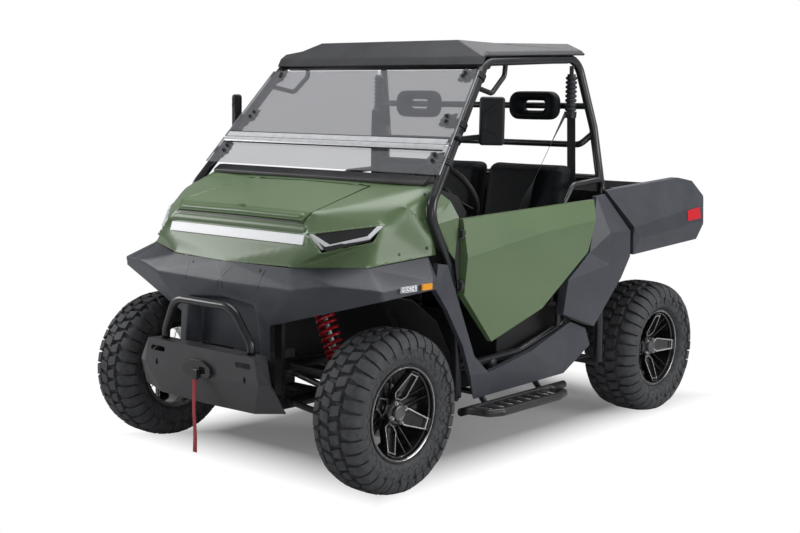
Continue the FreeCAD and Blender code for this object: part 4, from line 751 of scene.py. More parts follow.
spoke_outline = [(-0.018, 0.051), (0.018, 0.051), (0.036, 0.069), (0.0235, 0.160), (-0.0235, 0.160), (-0.036, 0.069)]
spoke_root = [(-0.019, 0.046), (0.019, 0.046), (0.0365, 0.069), (0.0235, 0.172), (-0.0235, 0.172), (-0.0365, 0.069)]
rib_outlines = [[(lean * 0.0125, 0.046), (lean * 0.0160, 0.046), (lean * 0.0225, 0.1715), (lean * 0.0190, 0.1715)]
                for lean in (-1, 1)]
spoke_slope = 0.43
spoke_turns = {"fl": -24.2, "fr": 12.0, "rl": -2.0, "rr": 31.0}
for corner, (side, track, axle, width, rim_width) in tyre_sizes.items():
    centre = (side * track, axle, tyre_radius)
    body = "wheel_" + corner
    half = rim_width / 2
    lip = [
        (half + 0.0055, 0.1925), (half + 0.0065, 0.186), (half + 0.0035, 0.1795), (half - 0.010, 0.1765),
        (half - 0.014, 0.1725), (half - 0.028, 0.1705), (-half + 0.02, 0.1705), (-half - 0.004, 0.1765),
        (-half - 0.0055, 0.1925), (-half - 0.001, 0.1925), (-half, 0.1785), (half - 0.001, 0.1785),
        (half, 0.1925),
    ]
    turned_piece("rim_barrel_" + corner, lip, body, rim_black, centre, side, ["rim_" + corner])
    bright = [(half + 0.0064, 0.1862), (half + 0.0074, 0.1852), (half + 0.0066, 0.1835), (half + 0.005, 0.1830)]
    turned_piece("rim_bright_line_" + corner, bright, body, machined_edge, centre, side)
    hub = [(-0.038, 0.0175), (-0.038, 0.050), (0.040, 0.052), (0.055, 0.050), (0.062, 0.044), (0.063, 0.0345),
           (0.058, 0.0335), (0.0585, 0.0)]
    turned_piece("rim_hub_" + corner, hub, body, rim_black, centre, side, steps=48, closed=False)
    cap = [(0.058, 0.0), (0.058, 0.0325), (0.070, 0.0325), (0.0755, 0.030), (0.0768, 0.0265), (0.0758, 0.0245),
           (0.0752, 0.010), (0.0756, 0.0)]
    turned_piece("hub_cap_" + corner, cap, body, cap_grey, centre, side, steps=48, closed=False)
    spokes = bmesh.new()
    edges = bmesh.new()
    nuts = bmesh.new()
    face = 0.0215 + half - 0.089
    for i in range(4):
        angle = math.radians(spoke_turns[corner]) + math.pi / 2 * i
        plate_on_wheel(spokes, spoke_root, face - 0.034, face - 0.016, angle, centre, side, spoke_slope)
        frame_on_wheel(spokes, spoke_root, 0.0052, face - 0.030, face - 0.0006, angle, centre, side, spoke_slope)
        frame_on_wheel(edges, spoke_outline, 0.0046, face - 0.004, face + 0.0008, angle, centre, side, spoke_slope)
        boss = [(math.cos(a) * 0.0105, 0.071 + math.sin(a) * 0.0105) for a in (k * math.pi / 8 for k in range(16))]
        plate_on_wheel(spokes, boss, face - 0.020, face - 0.008, angle, centre, side, spoke_slope)
        for rib in rib_outlines:
            plate_on_wheel(spokes, rib, face - 0.030, face - 0.016, angle + math.pi / 4, centre, side, 0.36)
        middle = angle + math.pi / 4
        nut_y, nut_z = -math.sin(middle) * 0.0425, math.cos(middle) * 0.0425
        spot = Vector(centre) + Vector((side * 0.062, nut_y, nut_z))
        turn = Matrix.Rotation(math.pi / 2, 4, "Y")
        bmesh.ops.create_cone(nuts, cap_ends=True, segments=6, radius1=0.0098, radius2=0.0098, depth=0.014,
                              matrix=Matrix.Translation(spot) @ turn)
        bmesh.ops.create_cone(nuts, cap_ends=True, segments=16, radius1=0.0072, radius2=0.0052, depth=0.007,
                              matrix=Matrix.Translation(spot + Vector((side * 0.0095, 0, 0))) @ turn)
    rounded(piece_of("rim_spokes_" + corner, spokes, body, rim_black), 0.0012, 30)
    rounded(piece_of("spoke_edges_" + corner, edges, body, machined_edge), 0.0004, 30, 1)
    rounded(piece_of("wheel_nuts_" + corner, nuts, body, zinc), 0.0008, 30)

# Behind each rim: a drilled steel brake disc and a cast caliper bolted to the upright.
for corner, (side, track, axle, width, rim_width) in tyre_sizes.items():
    centre = (side * track, axle, tyre_radius)
    disc = [(-0.012, 0.050), (-0.012, 0.108), (-0.018, 0.108), (-0.018, 0.050)]
    turned_piece("brake_disc_" + corner, disc, "wheel_" + corner, bare_steel, centre, side, steps=64)
    carrier = {"fl": "knuckle_left", "fr": "knuckle_right"}.get(corner, "chassis")
    caliper = bmesh.new()
    bmesh.ops.create_cube(caliper, size=1.0)
    bmesh.ops.scale(caliper, vec=(0.036, 0.040, 0.082), verts=caliper.verts)
    place = Vector(centre) + Vector((side * -0.020, 0.092, 0.018))
    bmesh.ops.translate(caliper, vec=place, verts=caliper.verts)
    made = piece_of("brake_caliper_" + corner, caliper, carrier, cast_alloy)
    rounded(made, 0.007, 30, 3)

# The cage: round steel tubes bent and welded, powder coated a satin black that catches
# a grey light along its length. Collars of the same coat cover its joints.
cage_black = powder_coat("cage_powder_coat", (0.011, 0.012, 0.015, 1), (0.024, 0.026, 0.031, 1), 0.26)
dressed("roll_cage", cage_black, 0.0)

# The roof: one moulding in grained black plastic with sloped flats, a visor lip along
# its front and drip rails along its sides.


def grained(name, colour, light, rough, grain=0.00022, size=620.0, coat=0.0, shine=0.45):
    """Moulded plastic: fine leather-like grain, with paler scuffs and dust."""
    material, shader, place = finish_of(name, Coat_Weight=coat, Coat_Roughness=0.3, Specular_IOR_Level=shine)
    pits = place.cells(size, 0, feature="F1")
    drift = place.noise(7.0, 6.0, 0.6)
    fine = place.noise(size * 0.7, 2.0)
    (drift * 0.75 + fine * 0.25).between(0.36, 0.78).tint(colour, light).into(shader, "Base Color")
    (rough + drift * 0.12 + pits * 0.1).into(shader, "Roughness")
    (pits + fine * 0.5).bump(shader, grain, 0.7)
    return material


def softened(skin, length, rounds):
    """Cut a skin into small even triangles and relax its folds, with its borders held."""
    for _ in range(5):
        bmesh.ops.triangulate(skin, faces=skin.faces)
        long_edges = [edge for edge in skin.edges if edge.calc_length() > length]
        if not long_edges:
            break
        bmesh.ops.subdivide_edges(skin, edges=long_edges, cuts=1)
    bmesh.ops.triangulate(skin, faces=skin.faces)
    bmesh.ops.beautify_fill(skin, faces=skin.faces, edges=skin.edges)
    inner = [vertex for vertex in skin.verts if not vertex.is_boundary]
    for _ in range(rounds):
        bmesh.ops.smooth_vert(skin, verts=inner, factor=0.5, use_axis_x=True, use_axis_y=True, use_axis_z=True)


def moulding(node, name, wall, crease, material, keep_boxes=(), fitting_material=None, soft=0):
    """A panel's visible skin, taken from its CAD solid: creases rounded, then its wall put back."""
    skin = bmesh.new()
    skin.from_mesh(nodes[node].data)
    bmesh.ops.remove_doubles(skin, verts=skin.verts, dist=0.00005)
    bmesh.ops.dissolve_limit(skin, angle_limit=math.radians(0.5), verts=skin.verts, edges=skin.edges)
    tree = BVHTree.FromBMesh(skin)
    sheet, fittings = set(), []
    for face in skin.faces:
        centre = face.calc_center_median()
        if any(all(low[k] <= centre[k] <= high[k] for k in range(3)) for low, high in keep_boxes):
            fittings.append(face)
            continue
        hit = tree.ray_cast(centre - face.normal * 0.0001, -face.normal, wall * 1.7)
        if hit[0] is not None:
            sheet.add(face)
    low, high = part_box(node)
    middle = (low + high) / 2 + Vector((0, 0.5, -0.2))
    outer = set()
    while sheet:
        start = max(sheet, key=lambda face: face.normal.dot(face.calc_center_median() - middle) * face.calc_area())
        if start.normal.dot(start.calc_center_median() - middle) < 0:
            break
        island, waiting = set(), [start]
        while waiting:
            face = waiting.pop()
            if face in island:
                continue
            island.add(face)
            for edge_between in face.edges:
                for other in edge_between.link_faces:
                    if other in sheet and other not in island:
                        waiting.append(other)
        sheet -= island
        if sum(face.calc_area() for face in island) < 0.002:
            continue
        outer |= island
        twins = set()
        for face in island:
            centre = face.calc_center_median()
            hit = tree.ray_cast(centre - face.normal * 0.0001, -face.normal, wall * 1.7)
            if hit[0] is not None:
                twins.add(hit[2])
        skin.faces.ensure_lookup_table()
        behind = {skin.faces[index] for index in twins}
        spread = list(behind & sheet)
        while spread:
            face = spread.pop()
            if face not in sheet:
                continue
            sheet.discard(face)
            for edge_between in face.edges:
                for other in edge_between.link_faces:
                    if other in sheet:
                        spread.append(other)
    made_fittings = None
    if fittings:
        kept = skin.copy()
        kept.faces.ensure_lookup_table()
        numbers = {face.index for face in fittings}
        gone = [face for face in kept.faces if face.index not in numbers]
        bmesh.ops.delete(kept, geom=gone, context="FACES")
        made_fittings = kept
    bmesh.ops.delete(skin, geom=[face for face in skin.faces if face not in outer], context="FACES")
    if soft:
        softened(skin, 0.018, soft)
    data = bpy.data.meshes.new(name)
    skin.to_mesh(data)
    skin.free()
    data.materials.append(material)
    made = bpy.data.objects.new(name, data)
    bpy.context.scene.collection.objects.link(made)
    body = nodes[node]["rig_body"]
    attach(made, body)
    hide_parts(node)
    if not soft:
        bevelled(made, "creases", crease, 3, 8)
    thick = made.modifiers.new("wall", "SOLIDIFY")
    thick.thickness = wall
    thick.offset = -1.0
    bevelled(made, "rims", 0.0012, 2, 60)
    data.shade_smooth()
    shading = made.modifiers.new("shading", "WEIGHTED_NORMAL")
    shading.weight = 80
    if made_fittings:
        extra = piece_of(name + "_hinges", made_fittings, body, fitting_material)
        smooth(extra, 30)
    return made


roof_plastic = grained("roof_plastic", (0.031, 0.032, 0.037, 1), (0.060, 0.062, 0.070, 1), 0.42)
moulding("roof_panel", "roof_skin", 0.006, 0.012, roof_plastic)

# The windshield: two panes of hard-coated polycarbonate bolted to clamps on the pillars,
# with polished edges, and a clear stepped rail where the panes meet over dark seals.


def clear_pane(name, passed, veil):
    """Polycarbonate: a breath of grey, faint wiping marks, a mirror at low angles."""
    material = bpy.data.materials.new(name)
    material.use_nodes = True
    tree = material.node_tree
    output = tree.nodes["Material Output"]
    tree.nodes.remove(tree.nodes["Principled BSDF"])
    place = Wire(tree, tree.nodes.new("ShaderNodeTexCoord").outputs["Object"])
    smear = place.noise(3.5, 5.0, 0.6, (1, 1, 3)).between(0.35, 0.8)
    through = place.node("ShaderNodeBsdfTransparent", {}, {"Color": (passed, passed, passed * 1.01, 1)})
    gloss = place.node("ShaderNodeBsdfGlossy", {}, {"Color": (0.9, 0.92, 0.94, 1), "Roughness": 0.04})
    haze = place.node("ShaderNodeBsdfDiffuse", {}, {"Color": (0.50, 0.50, 0.54, 1)})
    facing = place.node("ShaderNodeFresnel", {}, {"IOR": 1.3})
    clouded = place.node("ShaderNodeMixShader", {}, {0: veil + smear * 0.03, 1: through, 2: haze})
    place.node("ShaderNodeMixShader", {}, {0: facing * 0.5, 1: clouded, 2: gloss}).into(output, "Surface")
    return material


def bar(name, start, end, across, outward, section, body, material):
    """A straight extrusion between two places, from (across, outward) corners."""
    mesh = bmesh.new()
    rings = []
    for place in (start, end):
        rings.append([mesh.verts.new(Vector(place) + across * u + outward * v) for u, v in section])
    for k in range(len(section)):
        n = (k + 1) % len(section)
        mesh.faces.new((rings[0][k], rings[0][n], rings[1][n], rings[1][k]))
    mesh.faces.new(rings[0][::-1])
    mesh.faces.new(rings[1])
    made = piece_of(name, mesh, body, material)
    smooth(made, 30)
    return made


def bands(name, circles, wire, body, material, around=28, sides=8):
    """Round ribs, one torus for each (centre, axis, radius), as one piece."""
    mesh = bmesh.new()
    for centre, axis, radius in circles:
        axis = Vector(axis).normalized()
        out = axis.orthogonal().normalized()
        side = axis.cross(out)
        rings = []
        for i in range(around):
            angle = 2 * math.pi * i / around
            spoke = out * math.cos(angle) + side * math.sin(angle)
            rings.append([mesh.verts.new(Vector(centre) + spoke * (radius + math.cos(turn) * wire)
                                         + axis * (math.sin(turn) * wire))
                          for turn in (2 * math.pi * k / sides for k in range(sides))])
        for i in range(around):
            a, b = rings[i], rings[(i + 1) % around]
            skirt(mesh, a, b)
    made = piece_of(name, mesh, body, material)
    smooth(made, 60)
    return made


def buttons(name, spots, radius, height, body, material, sides=16):
    """Screw heads: low round heads with a dished top, each on its (place, outward) spot."""
    mesh = bmesh.new()
    outline = [(1.0, 0.0), (1.0, 0.55), (0.82, 0.95), (0.48, 1.0), (0.40, 0.55), (0.0, 0.50)]
    for place, outward in spots:
        outward = Vector(outward).normalized()
        out = outward.orthogonal().normalized()
        side = outward.cross(out)
        rings = []
        for share, rise in outline[:-1]:
            rings.append([mesh.verts.new(Vector(place) + outward * (rise * height - 0.0008)
                                         + (out * math.cos(turn) + side * math.sin(turn)) * (radius * share))
                          for turn in (2 * math.pi * k / sides for k in range(sides))])
        for a, b in zip(rings, rings[1:]):
            skirt(mesh, a, b)
        mesh.faces.new(rings[-1])
        mesh.faces.new(rings[0][::-1])
    made = piece_of(name, mesh, body, material)
    smooth(made, 35)
    return made


def mirrored(spots):
    """The same spots again on the vehicle's other side."""
    return list(spots) + [((-x, y, z), (-u, v, w)) for (x, y, z), (u, v, w) in spots]


upper_pane = clear_pane("smoked_polycarbonate", 0.80, 0.14)
lower_pane = clear_pane("clear_polycarbonate", 0.975, 0.05)
for pane, glass in (("windshield_lower", lower_pane), ("windshield_upper", upper_pane)):
    piece = nodes[pane]
    piece.data.materials.clear()
    piece.data.materials.append(glass)
clamp_plastic = grained("clamp_nylon", (0.02, 0.0205, 0.023, 1), (0.04, 0.041, 0.045, 1), 0.4)
dressed("windshield_clamps", clamp_plastic, 0.0018)
screen_up = Vector((0, 0.6425, 0.7663))
screen_out = Vector((0, -0.7663, 0.6425))
joint_middle = Vector((0, -0.6292, 1.3660))
rail_clear, rail_shader, rail_place = finish_of("joint_rail", Coat_Weight=0.8, Coat_Roughness=0.08)
rail_cloud = rail_place.noise(30.0).between(0.3, 0.7)
rail_cloud.tint((0.64, 0.65, 0.68, 1), (0.76, 0.77, 0.80, 1)).into(rail_shader, "Base Color")
(0.14 + rail_cloud * 0.1).into(rail_shader, "Roughness")
edge_clear, edge_shader, edge_place = finish_of("polished_edge", Coat_Weight=1.0)
edge_cloud = edge_place.noise(45.0).between(0.3, 0.7)
edge_cloud.tint((0.42, 0.45, 0.47, 1), (0.55, 0.58, 0.60, 1)).into(edge_shader, "Base Color")
(0.12 + edge_cloud * 0.1).into(edge_shader, "Roughness")
seal_black = grained("seal_rubber", (0.008, 0.008, 0.009, 1), (0.016, 0.016, 0.018, 1), 0.5)
joint_sections = {
    "joint_rail": (rail_clear, [(-0.029, 0.0004), (-0.029, 0.0050), (-0.021, 0.0085), (-0.008, 0.0090),
                                (-0.004, 0.0060), (-0.004, 0.0004)]),
    "joint_flange": (rail_clear, [(0.000, 0.0004), (0.000, 0.0045), (0.012, 0.0052), (0.0135, 0.0036),
                                  (0.027, 0.0032), (0.027, 0.0004)]),
    "joint_seal_low": (seal_black, [(-0.034, 0.0004), (-0.034, 0.0038), (-0.029, 0.0038), (-0.029, 0.0004)]),
    "joint_seal_middle": (seal_black, [(-0.004, 0.0004), (-0.004, 0.0030), (0.0, 0.0030), (0.0, 0.0004)]),
    "joint_seal_high": (seal_black, [(0.027, 0.0004), (0.027, 0.0034), (0.031, 0.0034), (0.031, 0.0004)]),
}
for name, (finish, section) in joint_sections.items():
    bar(name, joint_middle - Vector((0.662, 0, 0)), joint_middle + Vector((0.662, 0, 0)), screen_up, screen_out,
        section, "chassis", finish)
for pane in ("windshield_lower", "windshield_upper"):
    places = [nodes[pane].matrix_world @ vertex.co for vertex in nodes[pane].data.vertices]
    low_z, high_z = min(place.z for place in places), max(place.z for place in places)
    foot = max((place for place in places if place.z < low_z + 0.006), key=lambda place: place.x - place.y)
    head = max((place for place in places if place.z > high_z - 0.006), key=lambda place: place.x - place.y)
    for side in (-1, 1):
        start, end = (Vector((side * (place.x - 0.0002), place.y, place.z)) for place in (foot, head))
        across = Vector((side, 0, 0))
        section = [(-0.0014, -0.0046), (-0.0014, 0.0004), (0.0004, 0.0004), (0.0004, -0.0046)]
        bar(f"{pane}_edge_{'left' if side > 0 else 'right'}", start, end, across, screen_out, section, "chassis",
            edge_clear)
pillar_foot, pillar_head = Vector((0.724, -0.805, 1.108)), Vector((0.603, -0.300, 1.712))
pillar_run = pillar_head - pillar_foot
collars = []
for height in (1.645, 1.440, 1.290):
    for side in (-1, 1):
        middle = pillar_foot + pillar_run * ((height - pillar_foot.z) / pillar_run.z)
        run = pillar_run.normalized()
        for step in (-0.0115, 0.0, 0.0115):
            ring = middle + run * step
            collars.append(((side * ring.x, ring.y, ring.z), (side * run.x, run.y, run.z), 0.0232))
bands("clamp_ridges", collars, 0.0034, "chassis", clamp_plastic)
screen_bolts = [((0.5586, -0.3783, 1.6640), screen_out), ((0.5540, -0.3890, 1.6512), screen_out),
                ((0.5859, -0.5309, 1.4815), screen_out), ((0.5948, -0.5480, 1.4611), screen_out),
                ((0.6300, -0.6614, 1.3255), screen_out), ((0.6330, -0.6795, 1.3038), screen_out)]
clamp_grey = grained("clamp_plate_grey", (0.060, 0.064, 0.074, 1), (0.10, 0.105, 0.118, 1), 0.36)
plate_outline = [(-0.034, 0.030), (-0.010, 0.036), (-0.004, 0.028), (0.010, 0.030), (0.036, 0.036), (0.040, 0.004),
                 (0.030, -0.004), (0.038, -0.014), (0.036, -0.036), (0.008, -0.040), (0.002, -0.031), (-0.014, -0.037),
                 (-0.036, -0.026), (-0.030, -0.012), (-0.038, 0.000), (-0.030, 0.012)]
plates = bmesh.new()
for middle in (Vector((0.5640, -0.3840, 1.6572)), Vector((0.5920, -0.5405, 1.4700)), Vector((0.6330, -0.6710, 1.3143))):
    for side in (-1, 1):
        rows = []
        for lift in (-0.0062, -0.0102):
            rows.append([plates.verts.new((side * (middle.x + u), *(middle + screen_up * v + screen_out * lift).yz))
                         for u, v in plate_outline])
        plates.faces.new(rows[0])
        plates.faces.new(rows[1][::-1])
        for k in range(len(plate_outline)):
            n = (k + 1) % len(plate_outline)
            plates.faces.new((rows[0][k], rows[0][n], rows[1][n], rows[1][k]))
bmesh.ops.recalc_face_normals(plates, faces=plates.faces)
piece_of("clamp_plates", plates, "chassis", clamp_grey).data.shade_flat()
buttons("screen_bolts", mirrored(screen_bolts), 0.0085, 0.006, "chassis", seal_black)

# The nose: thermoplastic panels moulded in sage green with a satin skin, screwed to the
# frame. The lid is a separate moulding with a folded lip and a latch recess.


def satin_green(name):
    """Green plastic moulded in colour: satin, with fine flow marks."""
    material, shader, place = finish_of(name, Coat_Weight=0.30, Coat_Roughness=0.16, Specular_IOR_Level=0.42)
    flow = place.noise(2.6, 5.0, 0.5, (1, 1, 2.2))
    fine = place.noise(430.0, 2.0)
    dust = place.noise(60.0, 6.0, 0.7)
    tone = (flow * 0.7 + dust * 0.3).between(0.3, 0.75)
    tone.tint((0.108, 0.172, 0.079, 1), (0.136, 0.208, 0.101, 1)).into(shader, "Base Color")
    (0.34 + flow * 0.12 + dust * 0.05).into(shader, "Roughness")
    (fine + dust * 0.3).bump(shader, 0.00006, 0.4)
    return material


sage = satin_green("sage_green_plastic")
hinge_black = powder_coat("hinge_black", (0.014, 0.0145, 0.016, 1), (0.03, 0.031, 0.033, 1), 0.34)
hinge_room = [((-0.34, -0.79, 1.17), (-0.26, -0.735, 1.21)), ((0.26, -0.79, 1.17), (0.34, -0.735, 1.21))]
moulding("front_body", "nose_skin", 0.005, 0.012, sage, hinge_room, sage, 10)
moulding("hood_lid", "hood_skin", 0.016, 0.007, sage, hinge_room, sage)
moulding("cowl_cheeks", "cowl_cheek_skins", 0.005, 0.006, sage,
         [((0.738, -0.66, 0.75), (0.78, -0.61, 1.05)), ((-0.78, -0.66, 0.75), (-0.738, -0.61, 1.05))], hinge_black)


def oval(name, centre, outward, across, rings, body, material):
    """A round-ended relief built from (half width, half height, lift) rings, closed on top."""
    mesh = bmesh.new()
    outward = Vector(outward).normalized()
    across = (Vector(across) - outward * Vector(across).dot(outward)).normalized()
    up = outward.cross(across)
    made = []
    for wide, high, lift in rings:
        made.append([mesh.verts.new(Vector(centre) + across * (math.cos(turn) * wide) + up * (math.sin(turn) * high)
                                    + outward * lift)
                     for turn in (2 * math.pi * k / 40 for k in range(40))])
    for a, b in zip(made, made[1:]):
        skirt(mesh, a, b)
    mesh.faces.new(made[-1])
    piece = piece_of(name, mesh, body, material)
    smooth(piece, 35)
    return piece


def skin_run(skin, places, aim, lift, steps=5):
    """Points along a line on a skin's finished surface, each lifted off it a little."""
    tree = BVHTree.FromObject(bpy.data.objects[skin], bpy.context.evaluated_depsgraph_get())
    found = []
    for i, (start, end) in enumerate(zip(places, places[1:])):
        for step in range(steps + (1 if i == len(places) - 2 else 0)):
            spot = Vector(start).lerp(Vector(end), step / steps)
            hit = tree.ray_cast(spot - Vector(aim) * 0.08, Vector(aim), 0.16)
            if hit[0] is not None:
                normal = hit[1] if hit[1].dot(Vector(aim)) < 0 else -hit[1]
                found.append((hit[0] + normal * lift, normal))
    return found


def lip(name, run, profile, body, material, slot, taper=0.012):
    """A moulded lip along a run of (place, normal): a crowned section, rounded off at its ends."""
    mesh = bmesh.new()
    rings = []
    for i, (place, normal) in enumerate(run):
        along = (run[min(i + 1, len(run) - 1)][0] - run[max(i - 1, 0)][0]).normalized()
        across = normal.cross(along).normalized()
        near = min((place - run[0][0]).length, (place - run[-1][0]).length)
        full = math.sqrt(max(0.04, 1 - (1 - min(1.0, near / taper)) ** 2)) if near < taper else 1.0
        rings.append([mesh.verts.new(place + across * (u * full) + normal * (v * full)) for u, v in profile])
    for a, b in zip(rings, rings[1:]):
        skirt(mesh, a, b)
    mesh.faces.new(rings[0])
    mesh.faces.new(rings[-1])
    bmesh.ops.recalc_face_normals(mesh, faces=mesh.faces)
    made = piece_of(name, mesh, body, material)
    smooth(made, 40)
    return made


bpy.context.view_layer.update()
down_slope = Vector((0.0, 0.707, -0.707))
crown = [(-0.0160, -0.004), (-0.0150, 0.0018), (-0.0115, 0.0050), (-0.0055, 0.0066), (0.0020, 0.0062),
         (0.0090, 0.0044), (0.0140, 0.0018), (0.0160, -0.004)]
lip_ends = [(-0.371, -1.1485, 1.086), (-0.345, -1.1485, 1.086), (0.345, -1.1485, 1.086), (0.371, -1.1485, 1.086)]
lip("hood_lip", skin_run("hood_skin", lip_ends, down_slope, 0.0, 9), crown, "hood", sage, "body_green", 0.02)
brow_ends = [(-0.405, -1.172, 1.042), (-0.380, -1.172, 1.042), (0.380, -1.172, 1.042), (0.405, -1.172, 1.042)]
lip("nose_brow", skin_run("nose_skin", brow_ends, down_slope, 0.0, 9), crown, "chassis", sage, "body_green", 0.02)
seam_line = skin_run("nose_skin", [(-0.385, -1.166, 1.064), (0.385, -1.166, 1.064)], down_slope, 0.0012, 30)
seam_profile = [(-0.0030, -0.003), (-0.0030, 0.0006), (0.0030, 0.0006), (0.0030, -0.003)]
lip("lid_seam", seam_line, seam_profile, "chassis", hinge_black, "black_plastic", 0.004)
lip_out = (0.0, -0.78, 0.62)
oval("latch_bezel", (0.002, -1.1425, 1.0995), lip_out, (1, 0, 0),
     [(0.0300, 0.0160, -0.002), (0.0295, 0.0155, 0.0016), (0.0265, 0.0130, 0.0020), (0.0245, 0.0110, 0.0004)],
     "hood", sage)
# Painted shade: the latch recess is not cut; a black oval laid over the bezel stands in for the shade inside its slot.
oval("latch_slot", (0.009, -1.1425, 1.0995), lip_out, (1, 0, 0),
     [(0.0150, 0.0070, 0.0002), (0.0145, 0.0066, 0.0012)], "hood", hinge_black)
nose_screws = [((0.6724, -0.7680, 1.1745), (0.61, -0.28, 0.74)), ((0.7064, -0.7917, 0.9602), (0.96, -0.28, 0.04)),
               ((0.6763, -0.9243, 0.9422), (0.96, -0.23, 0.14))]
buttons("nose_screws", mirrored(nose_screws), 0.0065, 0.003, "chassis", hinge_black)
fascia_screws = [((0.2048, -1.2293, 0.8597), (0.06, -0.85, 0.52)), ((0.5700, -1.1650, 0.8560), (0.30, -0.80, 0.52))]
buttons("fascia_screws", mirrored(fascia_screws), 0.0065, 0.003, "chassis", hinge_black)

# Lamps: an edge-lit white bar across the nose, and dark lamp pods under clear covers
# with a bent white light guide that runs on from the bar's end.
lamp_dark = gloss_paint("lamp_cover", (0.006, 0.0065, 0.008), 0.08)
dressed("headlamps", lamp_dark, 0.002)


def glowing(name, colour, strength, rough=0.25):
    """A diffuser lit from behind: ribbed, a little brighter in the middle of its ribs."""
    material, shader, place = finish_of(name, Emission_Strength=strength)
    shader.inputs["Base Color"].default_value = (*colour, 1)
    ribs = place.node("ShaderNodeTexWave", {}, {"Vector": place, "Scale": 140.0})
    dim = tuple(part * 0.86 for part in colour)
    ribs.tint((*dim, 1), (*colour, 1)).into(shader, "Emission Color")
    (rough + ribs * 0.1).into(shader, "Roughness")
    return material


lamp_white = glowing("light_guide_white", (0.80, 0.81, 0.84), 0.16)
dressed("light_bar", lamp_white, 0.0015)
guide_outer = [(0.4120, -1.1700, 1.0140), (0.4705, -1.1520, 0.9590), (0.6155, -1.0313, 1.0035),
               (0.6440, -0.9850, 1.0530)]
guide_inner = [(0.4386, -1.1649, 1.0163), (0.5063, -1.1404, 0.9782), (0.6059, -1.0342, 1.0115),
               (0.6242, -0.9971, 1.0497)]
guide_out = Vector((0.55, -0.68, 0.48)).normalized()
for side, hand in ((1, "left"), (-1, "right")):
    guide = bmesh.new()
    rows = []
    for places, lift in ((guide_outer, -0.002), (guide_outer, 0.011), (guide_inner, 0.012), (guide_inner, -0.002)):
        row = []
        for x, y, z in places:
            place = Vector((x, y, z)) + guide_out * lift
            row.append(guide.verts.new((side * place.x, place.y, place.z)))
        rows.append(row)
    for k in range(4):
        a, b = rows[k], rows[(k + 1) % 4]
        for i in range(3):
            guide.faces.new((a[i], a[i + 1], b[i + 1], b[i]))
    for i in (0, -1):
        guide.faces.new([row[i] for row in rows])
    rounded(piece_of("light_guide_" + hand, guide, "chassis", lamp_white), 0.0012)
trim_black = grained("trim_black", (0.016, 0.016, 0.018, 1), (0.05, 0.051, 0.055, 1), 0.3, coat=0.15)
dressed("cowl_trim", trim_black, 0.003)
trim_silver = grained("trim_silver", (0.16, 0.165, 0.175, 1), (0.30, 0.31, 0.325, 1), 0.3, coat=0.2)
bar("cowl_trim_band", (-0.634, -0.7190, 1.2105), (0.634, -0.7190, 1.2105), Vector((0, 0.946, 0.324)),
    Vector((0, -0.324, 0.946)), [(-0.013, 0.0), (-0.013, 0.0022), (0.013, 0.0022), (0.013, 0.0)],
    "chassis", trim_silver)

# The bumper moulding and the bash plate: charcoal grained plastic above, and below it
# 5 mm steel, folded and laser cut, with a bent tube hoop bolted on.
charcoal = grained("charcoal_plastic", (0.042, 0.046, 0.058, 1), (0.070, 0.076, 0.093, 1), 0.38, coat=0.12)
moulding("front_fascia", "fascia_skin", 0.005, 0.006, charcoal, soft=1)
bpy.context.view_layer.update()
joint_lines = {
    "fascia_joint_a": ([(0.233, -1.2200, 0.866), (0.2258, -1.2450, 0.8281), (0.2202, -1.2553, 0.7864)], (0, 1, 0)),
    "fascia_joint_b": ([(-0.0488, -1.2343, 0.8662), (-0.0173, -1.2464, 0.8380), (0.0098, -1.2587, 0.8076),
                        (0.0143, -1.2586, 0.7725)], (0, 1, 0)),
    "fascia_joint_c": ([(-0.6174, -1.1018, 0.8867), (-0.6411, -1.1182, 0.8719), (-0.6730, -1.1434, 0.8488),
                        (-0.6954, -1.1641, 0.8308)], (0, 0.5, -0.87)),
}
joint_profile = [(-0.0013, -0.002), (-0.0013, 0.0004), (0.0013, 0.0004), (0.0013, -0.002)]
for name, (places, aim) in joint_lines.items():
    for side, hand in ((-1, "left"), (1, "right")):
        run = skin_run("fascia_skin", [(side * x, y, z) for x, y, z in places], Vector(aim).normalized(), 0.0006, 6)
        if len(run) > 3:
            lip(f"{name}_{hand}", run, joint_profile, "chassis", hinge_black, "black_plastic", 0.001)
plate_black = powder_coat("bumper_powder_coat", (0.036, 0.037, 0.041, 1), (0.06, 0.061, 0.066, 1), 0.4)
moulding("bumper_plate", "bumper_plate_skin", 0.005, 0.006, plate_black)
dressed("bull_bar", cage_black, 0.0)
dressed("winch", frame_black, 0.002)
dressed("wheel_liners", trim_black, 0.001)

# The cabin: a moulded floor and dash in grained black, and a thick-rimmed steering wheel.
cabin_black = grained("cabin_plastic", (0.010, 0.0102, 0.0115, 1), (0.022, 0.0225, 0.025, 1), 0.5)
for cabin_part in ("cabin_floor", "seat_base", "dashboard", "battery_pack"):
    dressed(cabin_part, cabin_black, 0.006)
dressed("steering_wheel", cabin_black, 0.0)

# The seats: foam pads in black vinyl with crowned faces and rounded shoulders. The
# headrests are hollow foam rings on the cage's cross bar.
vinyl = grained("seat_vinyl", (0.0022, 0.0034, 0.0052, 1), (0.006, 0.0078, 0.0108, 1), 0.50, 0.0003, 480.0, shine=0.24)


def applied(piece):
    """Bake a piece's modifiers into its mesh."""
    graph = bpy.context.evaluated_depsgraph_get()
    data = bpy.data.meshes.new_from_object(piece.evaluated_get(graph))
    piece.modifiers.clear()
    piece.data = data


